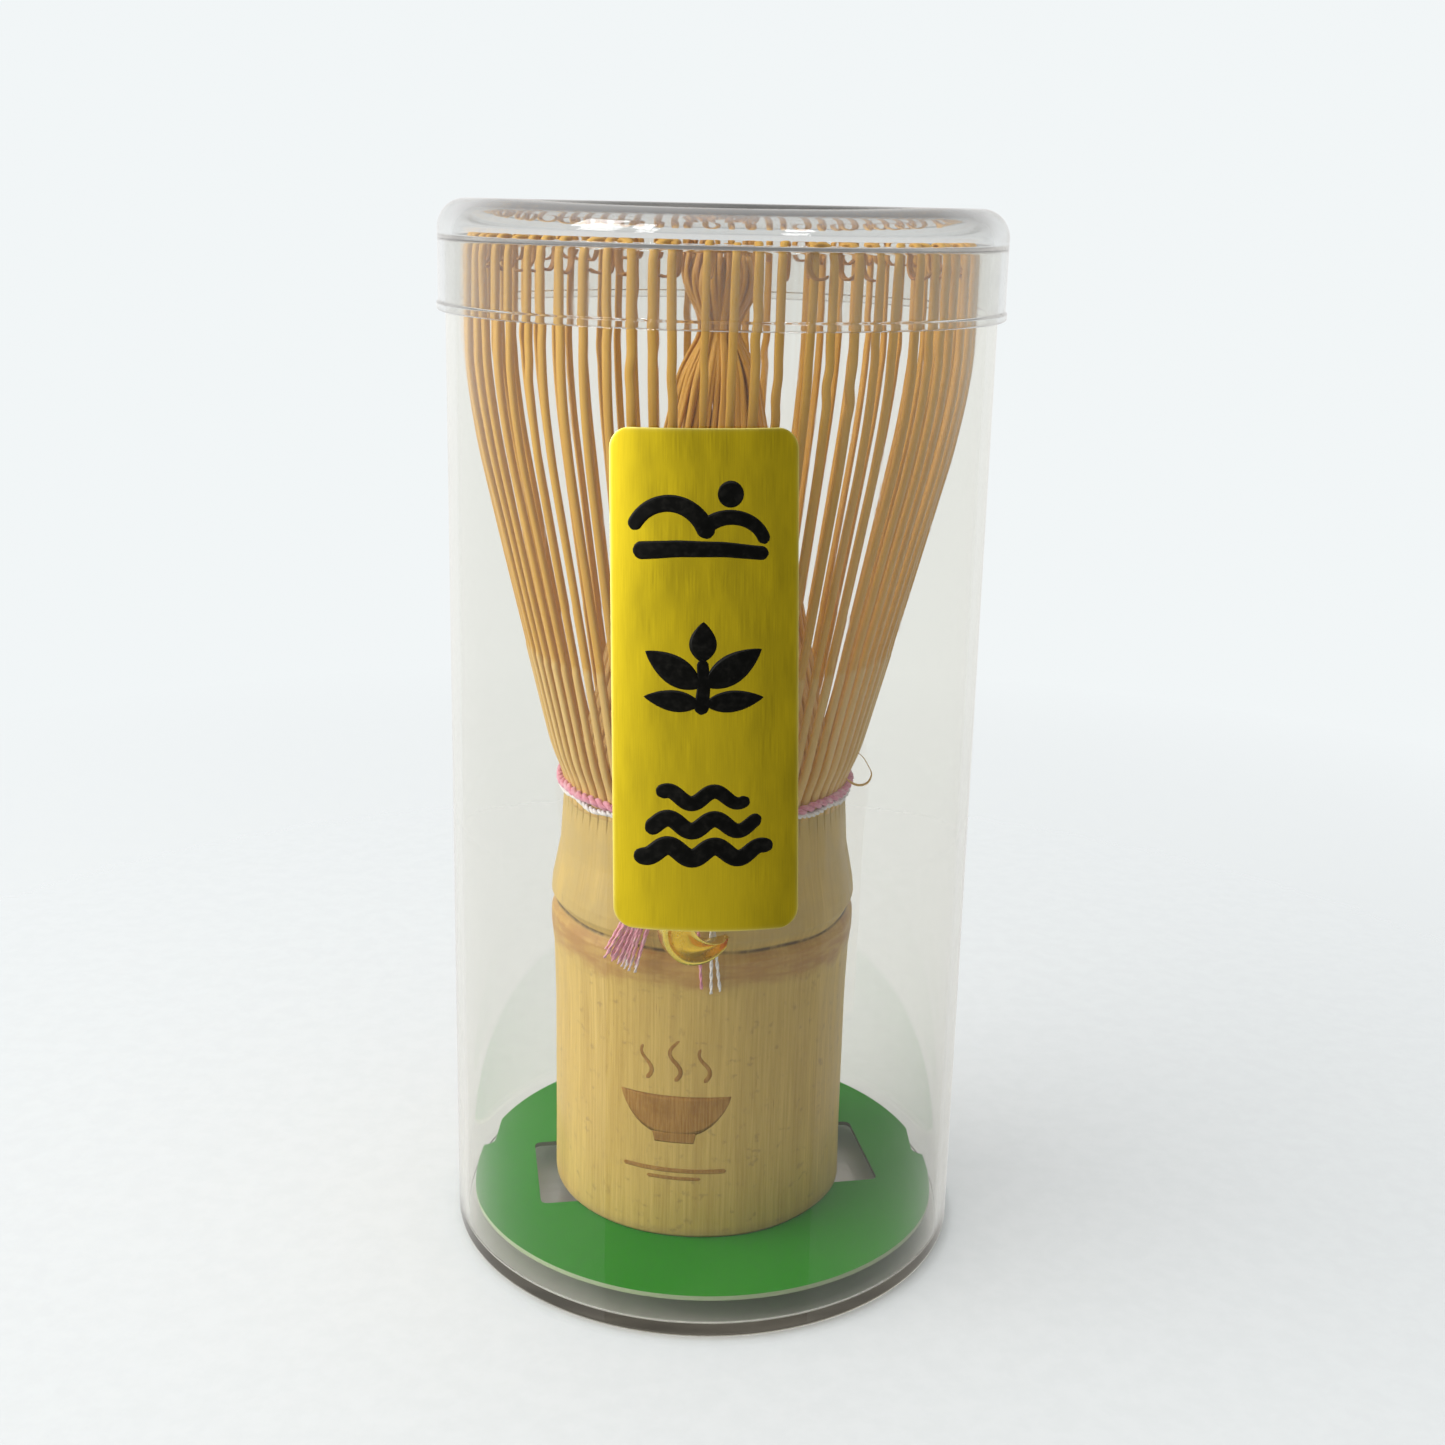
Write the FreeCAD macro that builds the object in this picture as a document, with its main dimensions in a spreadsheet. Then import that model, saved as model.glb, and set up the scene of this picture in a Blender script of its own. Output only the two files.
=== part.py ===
import FreeCAD, Part
import math
import os
import Sketcher

from FreeCAD import Placement, Rotation, Vector

# Bamboo tea whisk standing in its clear case.
# Millimetres, +Z up, origin at the centre of the case's underside, label towards -Y.

SIZES = {
    # clear tube and lid
    "tube_radius": 31.0,
    "tube_wall": 1.1,
    "tube_rim_z": 119.2,
    "floor_thick": 1.4,
    "foot_round": 0.8,
    "rim_round": 0.3,
    "lid_gap": 0.1,
    "lid_seat_gap": 0.05,
    "lid_seat_wide": 0.9,
    "lid_wall": 0.7,
    "lid_top_thick": 1.2,
    "lid_top_z": 123.5,
    "lid_skirt_z": 111.5,
    "lid_corner": 3.2,
    "lid_bead": 0.2,
    "lid_bead_high": 1.2,
    # card insert
    "insert_radius": 28.9,
    "insert_top_z": 4.5,
    "insert_thick": 0.6,
    "insert_turn": 10.0,
    "window_inner": 10.0,
    "window_outer": 21.2,
    "window_half": 7.3,
    "flap_foot": 6.5,
    "notch_deep": 1.5,
    "notch_low": 2.5,
    "notch_high": 12.0,
    # foil label
    "label_wide": 19.7,
    "label_low_z": 49.2,
    "label_high_z": 102.2,
    "label_thick": 0.12,
    "label_corner": 2.5,
    "label_shift": -0.9,
    "label_lean": -1.35,
    # place of the whisk on the insert
    "whisk_x": -0.8,
    "whisk_y": 0.4,
    # bamboo handle
    "handle_radius": 18.0,
    "handle_round": 0.4,
    "swell_radius": 18.25,
    "swell_low_z": 31.0,
    "swell_high_z": 36.5,
    "node_z": 41.3,
    "node_half": 0.6,
    "node_groove": 0.35,
    "waist_radius": 17.4,
    "waist_z": 48.3,
    "neck_radius": 17.0,
    "neck_z": 54.9,
    "culm_hollow": 14.4,
    "diaphragm_half": 1.2,
    # outer tines
    "outer_count": 72,
    "tine_wide": 0.85,
    "tine_thick": 0.6,
    "root_thick": 0.9,
    "split_z": 57.4,
    "hip_radius": 18.4,
    "hip_z": 59.6,
    "flare_low_radius": 20.0,
    "flare_low_z": 66.0,
    "flare_high_radius": 27.1,
    "flare_high_z": 96.4,
    "shoulder_radius": 28.0,
    "shoulder_z": 102.5,
    "head_radius": 28.2,
    "head_low_z": 107.0,
    "curl_z": 117.2,
    "curl_radius": 2.3,
    "curl_end": 200.0,
    # inner tines
    "inner_count": 36,
    "inner_root_radius": 15.3,
    "inner_thick": 1.0,
    "inner_slot": 0.5,
    "inner_slot_top_z": 103.0,
    "lean_low_radius": 15.0,
    "lean_low_z": 60.0,
    "lean_mid_radius": 9.2,
    "lean_mid_z": 86.0,
    "lean_high_radius": 5.8,
    "lean_high_z": 98.0,
    "pinch_radius": 2.7,
    "pinch_z": 109.0,
    "bunch_radius": 4.4,
    "bunch_z": 116.0,
    "crown_radius": 3.0,
    "crown_z": 120.2,
    # binding thread
    "thread_radius": 0.42,
    "thread_low_z": 55.9,
    "thread_high_z": 56.75,
    "lacing_radius": 0.35,
    "lacing_z": 56.6,
    "knot_radius": 0.95,
    "knot_x": -2.9,
    "knot_z": 55.9,
    # hanging thread ends: distance in front of the whisk's axis, reach below the knot
    "strand_radius": 0.28,
    "strand_front": 18.95,
    "strand_start": 1.4,
    "tassel_reach": 17.8,
    "tassel_lean": 20.5,
    "tassel_fan": 2.0,
    "tassel_count": 7,
    "tail_x": 0.4,
    "tail_reach": 19.6,
    "tail_pink_x": -0.8,
    "tail_pink_reach": 19.0,
    # crescent charm
    "charm_front": 22.9,
    "charm_x": -0.3,
    "charm_z": 46.0,
    "charm_radius": 4.3,
    "bite_radius": 3.45,
    "bite_reach": 2.8,
    "bite_turn": 28.0,
    "charm_thick": 1.7,
    "charm_yaw": 24.0,
    "eye_turn": 128.0,
    "eye_inset": 0.85,
    "eye_radius": 0.5,
    "ring_radius": 1.35,
    "ring_thread": 0.2,
}

SPARE = 10.0  # how far a cutting tool runs past the piece it cuts


class Size:
    """A length or angle that knows both its value and the sheet expression it comes from."""

    def __init__(self, value, text):
        self.value = float(value)
        self.text = text

    def join(self, other, sign, value):
        return Size(value, f"({self.text} {sign} {as_size(other).text})")

    def __add__(self, other):
        return self.join(other, "+", self.value + as_size(other).value)

    def __sub__(self, other):
        return self.join(other, "-", self.value - as_size(other).value)

    def __mul__(self, other):
        return self.join(other, "*", self.value * as_size(other).value)

    def __truediv__(self, other):
        return self.join(other, "/", self.value / as_size(other).value)

    def __neg__(self):
        return Size(-self.value, f"(0 - {self.text})")


def as_size(number):
    if isinstance(number, Size):
        return number
    return Size(number, repr(number))


def cell(name):
    return Size(SIZES[name], "sizes." + name)


def cosine(angle):
    return Size(math.cos(math.radians(angle.value)), f"cos({angle.text})")


def sine(angle):
    return Size(math.sin(math.radians(angle.value)), f"sin({angle.text})")


def tangent(angle):
    return Size(math.tan(math.radians(angle.value)), f"tan({angle.text})")


def make_sheet(doc):
    sheet = doc.addObject("Spreadsheet::Sheet", "sizes")
    for row, (name, value) in enumerate(SIZES.items(), start=1):
        sheet.set(f"A{row}", name)
        sheet.set(f"B{row}", str(value))
        sheet.setAlias(f"B{row}", name)
    doc.recompute()


def bind(thing, **sizes):
    """Binds each named property to its sheet expression; a double underscore stands for a dot."""
    for name, size in sizes.items():
        thing.setExpression(name.replace("__", "."), as_size(size).text)


def place(thing, x=0, y=0, z=0, turn=0, axis=Vector(0, 0, 1)):
    thing.Placement = Placement(Vector(0, 0, 0), Rotation(axis, as_size(turn).value))
    bind(thing, Placement__Base__x=x, Placement__Base__y=y, Placement__Base__z=z)
    if isinstance(turn, Size):
        bind(thing, Placement__Rotation__Angle=turn)


# sketches


def origin_plane(body, role):
    return next(item for item in body.Origin.OriginFeatures if item.Role == role)


def new_sketch(body, name, role, lift=0):
    sketch = body.newObject("Sketcher::SketchObject", name)
    sketch.AttachmentSupport = (origin_plane(body, role), [""])
    sketch.MapMode = "FlatFace"
    bind(sketch, AttachmentOffset__Base__z=lift)
    return sketch


def pin_point(sketch, item, end, x=None, y=None):
    """Ties one end of a sketch line or arc to its sheet coordinates."""
    for kind, size, axis in (("DistanceX", x, -2), ("DistanceY", y, -1)):
        if size is None:
            continue
        size = as_size(size)
        if size.value == 0:
            sketch.addConstraint(Sketcher.Constraint("PointOnObject", item, end, axis))
            continue
        index = sketch.addConstraint(Sketcher.Constraint(kind, -1, 1, item, end, size.value))
        sketch.setExpression(f"Constraints[{index}]", size.text)


def draw_outline(sketch, corners, arcs=None):
    """Closed outline through corners; arcs maps an edge's number to the centre it turns about, anticlockwise
    when the third value is true."""
    arcs = arcs or {}
    count = len(corners)
    ends = []
    for index in range(count):
        start = Vector(as_size(corners[index][0]).value, as_size(corners[index][1]).value, 0)
        after = corners[(index + 1) % count]
        finish = Vector(as_size(after[0]).value, as_size(after[1]).value, 0)
        if index not in arcs:
            item = sketch.addGeometry(Part.LineSegment(start, finish), False)
            ends.append((item, 1, 2))
            continue
        centre_x, centre_y, anticlockwise = arcs[index]
        centre = Vector(centre_x.value, centre_y.value, 0)
        circle = Part.Circle(centre, Vector(0, 0, 1), (start - centre).Length)
        first, last = (start, finish) if anticlockwise else (finish, start)
        angles = [math.atan2(point.y - centre.y, point.x - centre.x) for point in (first, last)]
        item = sketch.addGeometry(Part.ArcOfCircle(circle, angles[0], angles[1]), False)
        ends.append((item, 1, 2) if anticlockwise else (item, 2, 1))
    for index in range(count):
        item, _, last = ends[index]
        following, first, _ = ends[(index + 1) % count]
        sketch.addConstraint(Sketcher.Constraint("Coincident", item, last, following, first))
        if index not in arcs:
            continue
        centre_x, centre_y, anticlockwise = arcs[index]
        pin_point(sketch, item, 3, centre_x, centre_y)
    for index in range(count):
        item, first, _ = ends[index]
        x, y = corners[index]
        if (index - 1) % count in arcs:  # the arc's centre and start already fix its radius
            centre_x, centre_y, anticlockwise = arcs[(index - 1) % count]
            beside = abs(as_size(x).value - centre_x.value) < abs(as_size(y).value - centre_y.value)
            x, y = (x, None) if beside else (None, y)
        pin_point(sketch, item, first, x, y)


def draw_circle(sketch, radius, x=0, y=0):
    centre = Vector(as_size(x).value, as_size(y).value, 0)
    item = sketch.addGeometry(Part.Circle(centre, Vector(0, 0, 1), radius.value), False)
    index = sketch.addConstraint(Sketcher.Constraint("Radius", item, radius.value))
    sketch.setExpression(f"Constraints[{index}]", radius.text)
    pin_point(sketch, item, 3, x, y)


def rectangle(x_low, x_high, y_low, y_high):
    return [(x_low, y_low), (x_high, y_low), (x_high, y_high), (x_low, y_high)]


# features


def new_body(doc, label):
    body = doc.addObject("PartDesign::Body", label)
    body.Label = label
    return body


def revolve(body, name, corners, arcs=None):
    sketch = new_sketch(body, name + "_profile", "XZ_Plane")
    draw_outline(sketch, corners, arcs)
    feature = body.newObject("PartDesign::Revolution", name)
    feature.Profile = sketch
    feature.ReferenceAxis = (sketch, ["V_Axis"])
    feature.Angle = 360
    body.Document.recompute()
    return feature


def pad(body, name, sketch, length, both_ways=False):
    feature = body.newObject("PartDesign::Pad", name)
    feature.Profile = sketch
    if both_ways:
        feature.SideType = "Symmetric"
    bind(feature, Length=length)
    body.Document.recompute()
    return feature


def pocket(body, name, sketch, length, upwards):
    before = body.Shape.Volume
    feature = body.newObject("PartDesign::Pocket", name)
    feature.Profile = sketch
    feature.Reversed = upwards
    bind(feature, Length=length)
    body.Document.recompute()
    if not body.Shape.Volume < before:
        raise RuntimeError(f"{name} cut nothing")
    return feature


def repeat(body, name, feature, count):
    """Turns a feature about the body's own Z axis."""
    pattern = body.newObject("PartDesign::PolarPattern", name)
    pattern.Originals = [feature]
    pattern.Axis = (origin_plane(body, "Z_Axis"), [""])
    pattern.Angle = 360
    bind(pattern, Occurrences=count)
    body.Tip = pattern
    body.Document.recompute()
    return pattern


def edges_where(shape, test):
    return [f"Edge{index}" for index, edge in enumerate(shape.Edges, start=1) if test(edge)]


def round_edges(body, name, radius, test):
    base = body.Tip
    feature = body.newObject("PartDesign::Fillet", name)
    feature.Base = (base, edges_where(base.Shape, test))
    bind(feature, Radius=radius)
    body.Document.recompute()


def is_ring(edge, radius, height):
    curve = edge.Curve
    if not isinstance(curve, Part.Circle):
        return False
    return abs(curve.Radius - radius) < 0.01 and abs(curve.Center.z - height) < 0.01


# clear case


def case_tube(doc):
    body = new_body(doc, "case_tube")
    outer = cell("tube_radius")
    inner = outer - cell("tube_wall")
    rim = cell("tube_rim_z")
    foot = cell("foot_round")
    corners = [
        (0, 0),
        (outer - foot, 0),
        (outer, foot),
        (outer, rim),
        (inner, rim),
        (inner, cell("floor_thick")),
        (0, cell("floor_thick")),
    ]
    revolve(body, "tube_shell", corners, {1: (outer - foot, foot, True)})
    rims = (outer.value, inner.value)
    round_edges(body, "rim_rounding", cell("rim_round"),
                lambda edge: any(is_ring(edge, radius, rim.value) for radius in rims))
    return body


def case_lid(doc):
    body = new_body(doc, "case_lid")
    inner = cell("tube_radius") + cell("lid_gap")
    outer = inner + cell("lid_wall")
    bead = outer + cell("lid_bead")
    seat = inner - cell("lid_seat_wide")
    seat_z = cell("tube_rim_z") + cell("lid_seat_gap")
    skirt = cell("lid_skirt_z")
    bead_top = skirt + cell("lid_bead_high")
    top = cell("lid_top_z")
    under = top - cell("lid_top_thick")
    corner = cell("lid_corner")
    corners = [
        (0, under),
        (seat, under),
        (seat, seat_z),
        (inner, seat_z),
        (inner, skirt),
        (bead, skirt),
        (bead, bead_top),
        (outer, bead_top + cell("lid_bead")),
        (outer, top - corner),
        (outer - corner, top),
        (0, top),
    ]
    revolve(body, "lid_shell", corners, {8: (outer - corner, top - corner, True)})
    return body


def base_insert(doc):
    """Card disc on two flaps that are folded down from its windows, with their feet turned in."""
    body = new_body(doc, "base_insert")
    thick = cell("insert_thick")
    under = cell("insert_top_z") - thick
    floor = cell("floor_thick")
    near = cell("window_inner")
    half = cell("window_half")
    disc = new_sketch(body, "disc_outline", "XY_Plane", under)
    draw_circle(disc, cell("insert_radius"))
    pad(body, "disc", disc, thick)
    window = new_sketch(body, "window_outline", "XY_Plane", under)
    draw_outline(window, rectangle(near, cell("window_outer"), -half, half))
    windows = pocket(body, "window", window, thick, True)
    repeat(body, "windows", windows, 2)
    cut_notches(body, under, thick)
    flap = new_sketch(body, "flap_profile", "XZ_Plane")
    corners = [
        (near - thick, under),
        (near - thick, floor + thick),
        (near - cell("flap_foot"), floor + thick),
        (near - cell("flap_foot"), floor),
        (near, floor),
        (near, under),
    ]
    draw_outline(flap, corners)
    flaps = pad(body, "flap", flap, half * 2, both_ways=True)
    repeat(body, "flaps", flaps, 2)
    place(body, turn=cell("insert_turn"))
    return body


def cut_notches(body, under, thick):
    """Finger notches left and right of the card, level with each other although the windows are turned."""
    notch = new_sketch(body, "notch_outline", "XY_Plane", under)
    notch.AttachmentOffset = Placement(notch.AttachmentOffset.Base, Rotation(Vector(0, 0, -1), SIZES["insert_turn"]))
    bind(notch, AttachmentOffset__Rotation__Angle=cell("insert_turn"))
    rim = cell("insert_radius")
    low, high = cell("notch_low"), cell("notch_high")
    draw_outline(notch, rectangle(rim - cell("notch_deep"), rim + 1, low, high))
    draw_outline(notch, rectangle(-rim - 1, cell("notch_deep") - rim, low, high))
    pocket(body, "notches", notch, thick, True)


def foil_label(doc):
    """Thin foil wrapped on the front of the tube: a sleeve cut to a rounded rectangle."""
    radius = cell("tube_radius")
    low = cell("label_low_z")
    high = cell("label_high_z")
    corner = cell("label_corner")
    half = cell("label_wide") / 2
    half_high = (high - low) / 2
    outline = doc.addObject("Sketcher::SketchObject", "label_outline")
    corners = [
        (-half + corner, -half_high),
        (half - corner, -half_high),
        (half, -half_high + corner),
        (half, half_high - corner),
        (half - corner, half_high),
        (-half + corner, half_high),
        (-half, half_high - corner),
        (-half, -half_high + corner),
    ]
    arcs = {
        1: (half - corner, -half_high + corner, True),
        3: (half - corner, half_high - corner, True),
        5: (-half + corner, half_high - corner, True),
        7: (-half + corner, -half_high + corner, True),
    }
    draw_outline(outline, corners, arcs)
    upright = Rotation(Vector(1, 0, 0), 90)
    lean = Rotation(Vector(0, 1, 0), cell("label_lean").value)
    outline.Placement = Placement(Vector(0, 0, 0), lean.multiply(upright))
    bind(outline, Placement__Base__x=cell("label_shift"), Placement__Base__z=(high + low) / 2)
    block = doc.addObject("Part::Extrusion", "label_block")
    block.Base = outline
    block.DirMode = "Custom"
    block.Dir = Vector(0, -1, 0)
    block.Solid = True
    bind(block, LengthFwd=radius + SPARE)
    sleeve = []
    for name, size in (("label_outside", radius + cell("label_thick")), ("label_inside", radius)):
        cylinder = doc.addObject("Part::Cylinder", name)
        bind(cylinder, Radius=size, Height=high - low + SPARE)
        place(cylinder, z=low - SPARE / 2)
        sleeve.append(cylinder)
    ring = doc.addObject("Part::Cut", "label_sleeve")
    ring.Base, ring.Tool = sleeve
    label = doc.addObject("Part::Common", "foil_label")
    label.Base = ring
    label.Tool = block
    label.Label = "foil_label"
    return label


# bamboo


def place_whisk_piece(thing, x=0, y=0, z=0):
    """Moves a piece to the whisk's own axis, keeping the way it is turned."""
    bind(thing, Placement__Base__x=cell("whisk_x") + x, Placement__Base__y=cell("whisk_y") + y,
         Placement__Base__z=z)


def whisk_handle(doc):
    """Bamboo culm, hollow below and above the diaphragm at its node."""
    body = new_body(doc, "whisk_handle")
    foot = cell("insert_top_z")
    hollow = cell("culm_hollow")
    radius = cell("handle_radius")
    swell = cell("swell_radius")
    node = cell("node_z")
    node_half = cell("node_half")
    wall = cell("diaphragm_half")
    corners = [
        (hollow, foot),
        (radius, foot),
        (radius, cell("swell_low_z")),
        (swell, cell("swell_high_z")),
        (swell, node - node_half),
        (swell - cell("node_groove"), node),
        (swell, node + node_half),
        (cell("waist_radius"), cell("waist_z")),
        (cell("neck_radius"), cell("neck_z")),
        (hollow, cell("neck_z")),
        (hollow, node + wall),
        (0, node + wall),
        (0, node - wall),
        (hollow, node - wall),
    ]
    revolve(body, "culm", corners)
    round_edges(body, "foot_rounding", cell("handle_round"),
                lambda edge: is_ring(edge, radius.value, foot.value))
    place_whisk_piece(body)
    return body


def outer_tines(doc):
    """Ring of tines that flare out, turn upright and curl inwards, split from one sleeve of bamboo."""
    body = new_body(doc, "outer_tines")
    root = cell("neck_radius")
    thick = cell("tine_thick")
    head = cell("head_radius")
    curl_x = head - cell("curl_radius")
    curl_z = cell("curl_z")
    curl_end = cell("curl_end")
    face = [
        (root, cell("neck_z")),
        (root, cell("split_z")),
        (cell("hip_radius"), cell("hip_z")),
        (cell("flare_low_radius"), cell("flare_low_z")),
        (cell("flare_high_radius"), cell("flare_high_z")),
        (cell("shoulder_radius"), cell("shoulder_z")),
        (head, cell("head_low_z")),
    ]
    back = [(x - thick, z) for x, z in face[2:]]
    back = [(root - cell("root_thick"), z) for x, z in face[:2]] + back
    outer_curl = cell("curl_radius")
    inner_curl = outer_curl - thick
    corners = face + [
        (head, curl_z),
        (curl_x + outer_curl * cosine(curl_end), curl_z + outer_curl * sine(curl_end)),
        (curl_x + inner_curl * cosine(curl_end), curl_z + inner_curl * sine(curl_end)),
        (head - thick, curl_z),
    ] + back[::-1]
    arcs = {len(face): (curl_x, curl_z, True), len(face) + 2: (curl_x, curl_z, False)}
    revolve(body, "sleeve", corners, arcs)
    half_step = Size(180, "180") / cell("outer_count")
    near = cell("culm_hollow")
    far = head + SPARE
    edge = cell("tine_wide") / 2 / cosine(half_step)
    near_half = near * tangent(half_step) - edge
    far_half = far * tangent(half_step) - edge
    gap = new_sketch(body, "gap_outline", "XY_Plane", cell("split_z"))
    draw_outline(gap, [(near, -near_half), (far, -far_half), (far, far_half), (near, near_half)])
    cut = pocket(body, "gap", gap, cell("lid_top_z") - cell("split_z"), True)
    repeat(body, "gaps", cut, cell("outer_count"))
    place_whisk_piece(body)
    return body


def inner_tines(doc):
    """Bundle of tines that lean in to the middle and end in one twisted knot."""
    body = new_body(doc, "inner_tines")
    root = cell("inner_root_radius")
    thick = cell("inner_thick")
    hollow = cell("culm_hollow")
    face = [
        (root, cell("neck_z")),
        (root, cell("split_z")),
        (cell("lean_low_radius"), cell("lean_low_z")),
        (cell("lean_mid_radius"), cell("lean_mid_z")),
        (cell("lean_high_radius"), cell("lean_high_z")),
        (cell("pinch_radius"), cell("pinch_z")),
        (cell("bunch_radius"), cell("bunch_z")),
        (cell("crown_radius"), cell("crown_z")),
    ]
    inside = [
        (0, cell("crown_z")),
        (0, cell("pinch_z") - thick),
        (cell("lean_high_radius") - thick, cell("lean_high_z")),
        (cell("lean_mid_radius") - thick, cell("lean_mid_z")),
        (cell("lean_low_radius") - thick, cell("lean_low_z")),
        (hollow, cell("split_z")),
        (hollow, cell("neck_z")),
    ]
    revolve(body, "bundle", face + inside)
    half = cell("inner_slot") / 2
    near = cell("pinch_radius")
    far = root + SPARE
    slot = new_sketch(body, "slot_outline", "XY_Plane", cell("split_z"))
    draw_outline(slot, rectangle(near, far, -half, half))
    cut = pocket(body, "slot", slot, cell("inner_slot_top_z") - cell("split_z"), True)
    repeat(body, "slots", cut, cell("inner_count"))
    place_whisk_piece(body)
    return body


# binding thread and what hangs from it


def thread_ring(doc, label, ring_radius, thread_radius, height):
    ring = doc.addObject("Part::Torus", label)
    ring.Label = label
    bind(ring, Radius1=ring_radius, Radius2=thread_radius)
    place_whisk_piece(ring, z=height)
    return ring


def thread_pink(doc):
    thread = cell("thread_radius")
    return thread_ring(doc, "thread_pink", cell("neck_radius") + thread, thread, cell("thread_high_z"))


def thread_white(doc):
    thread = cell("thread_radius")
    return thread_ring(doc, "thread_white", cell("neck_radius") + thread, thread, cell("thread_low_z"))


def inner_lacing(doc):
    middle = (cell("neck_radius") - cell("root_thick") + cell("inner_root_radius")) / 2
    return thread_ring(doc, "inner_lacing", middle, cell("lacing_radius"), cell("lacing_z"))


def thread_knot(doc):
    knot = doc.addObject("Part::Sphere", "thread_knot")
    knot.Label = "thread_knot"
    bind(knot, Radius=cell("knot_radius"))
    place_whisk_piece(knot, cell("knot_x"), -cell("strand_front"), cell("knot_z"))
    return knot


def strand(doc, name, radius, reach, start, lean):
    """Straight thread hanging from the origin, leaning sideways by an angle about the Y axis."""
    thread = doc.addObject("Part::Cylinder", name)
    bind(thread, Radius=radius, Height=reach - start)
    thread.Placement = Placement(Vector(0, 0, 0), Rotation(Vector(0, 1, 0), 180 + lean.value))
    bind(thread, Placement__Rotation__Angle=Size(180, "180") + lean)
    bind(thread, Placement__Base__x=-(start * sine(lean)), Placement__Base__z=-(start * cosine(lean)))
    return thread


def fused(doc, label, pieces):
    whole = doc.addObject("Part::MultiFuse", label)
    whole.Shapes = pieces
    whole.Label = label
    return whole


def tassel_pink(doc):
    count = SIZES["tassel_count"]
    pieces = []
    for index in range(count):
        lean = cell("tassel_lean") + cell("tassel_fan") * (index - (count - 1) / 2)
        reach = cell("tassel_reach") - (index % 2)
        pieces.append(strand(doc, f"tassel_strand_{index}", cell("strand_radius"), reach,
                             cell("strand_start"), lean))
    tassel = fused(doc, "tassel_pink", pieces)
    place_whisk_piece(tassel, cell("knot_x"), -cell("strand_front"), cell("knot_z"))
    return tassel


def tail_white(doc):
    leans = [Size(0, "0"), -cell("tassel_fan")]
    pieces = [strand(doc, f"tail_strand_{index}", cell("strand_radius"), cell("tail_reach"),
                     cell("strand_start"), lean) for index, lean in enumerate(leans)]
    tail = fused(doc, "tail_white", pieces)
    place_whisk_piece(tail, cell("tail_x"), -cell("strand_front"), cell("knot_z"))
    return tail


def tail_pink(doc):
    tail = strand(doc, "tail_pink", cell("strand_radius"), cell("tail_pink_reach"),
                  cell("strand_start"), Size(0, "0"))
    tail.Label = "tail_pink"
    place_whisk_piece(tail, cell("tail_pink_x"), -cell("strand_front"), cell("knot_z") - cell("strand_start"))
    return tail


def eye_place():
    """Centre of the hole near the crescent's upper tip, from the crescent's own centre."""
    reach = cell("charm_radius") - cell("eye_inset")
    return reach * cosine(cell("eye_turn")), reach * sine(cell("eye_turn"))


def place_charm_piece(thing, x=0, z=0):
    """The crescent and its ring turn together about the upright line through the hole."""
    eye_x = eye_place()[0]
    yaw = cell("charm_yaw")
    place(thing, turn=yaw)
    offset = as_size(x) - eye_x
    bind(
        thing,
        Placement__Base__x=cell("whisk_x") + cell("charm_x") + eye_x + offset * cosine(yaw),
        Placement__Base__y=cell("whisk_y") - cell("charm_front") + offset * sine(yaw),
        Placement__Base__z=cell("charm_z") + z,
    )


def moon_charm(doc):
    body = new_body(doc, "moon_charm")
    radius = cell("charm_radius")
    bite = cell("bite_radius")
    reach = cell("bite_reach")
    turn = cell("bite_turn")
    # the two circles cross at the crescent's tips
    along = (reach * reach + radius * radius - bite * bite) / (reach * 2)
    across = Size(math.sqrt(radius.value**2 - along.value**2), f"sqrt({radius.text}^2 - {along.text}^2)")
    tips = [(along * cosine(turn) - across * sine(turn) * side,
             along * sine(turn) + across * cosine(turn) * side) for side in (1, -1)]
    sketch = new_sketch(body, "crescent_outline", "XZ_Plane")
    middle = Size(0, "0")
    back = (middle, middle, True)
    front = (reach * cosine(turn), reach * sine(turn), False)
    draw_outline(sketch, tips, {0: back, 1: front})
    pad(body, "crescent", sketch, cell("charm_thick"), both_ways=True)
    eye_x, eye_z = eye_place()
    hole = new_sketch(body, "eye_outline", "XZ_Plane", -cell("charm_thick"))
    draw_circle(hole, cell("eye_radius"), eye_x, eye_z)
    pocket(body, "eye", hole, cell("charm_thick") * 2, True)
    place_charm_piece(body)
    return body


def charm_loop(doc):
    """Thread ring through the crescent's hole, a drop above it and the turn back to the knot."""
    thread = cell("ring_thread")
    eye_x, eye_z = eye_place()
    ring = doc.addObject("Part::Torus", "loop_ring")
    bind(ring, Radius1=cell("ring_radius"), Radius2=thread)
    ring.Placement = Placement(Vector(0, 0, 0), Rotation(Vector(0, 0, 1), cell("charm_yaw").value).multiply(
        Rotation(Vector(0, 1, 0), 90)))
    hang_x = cell("whisk_x") + cell("charm_x") + eye_x
    hang_y = cell("whisk_y") - cell("charm_front")
    ring_z = cell("charm_z") + eye_z + cell("ring_radius")
    bind(ring, Placement__Base__x=hang_x, Placement__Base__y=hang_y, Placement__Base__z=ring_z)
    drop = doc.addObject("Part::Cylinder", "loop_drop")
    drop_low = ring_z + cell("ring_radius")
    bind(drop, Radius=thread, Height=cell("knot_z") - drop_low)
    place(drop, hang_x, hang_y, drop_low)
    bend = doc.addObject("Part::Sphere", "loop_bend")
    bind(bend, Radius=thread)
    place(bend, hang_x, hang_y, cell("knot_z"))
    back = doc.addObject("Part::Cylinder", "loop_back")
    back_reach = cell("charm_front") - cell("strand_front") - cell("knot_radius") - 0.1
    bind(back, Radius=thread, Height=back_reach)
    place(back, hang_x, hang_y, cell("knot_z"), -90, Vector(1, 0, 0))
    return fused(doc, "charm_loop", [ring, drop, bend, back])


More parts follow.
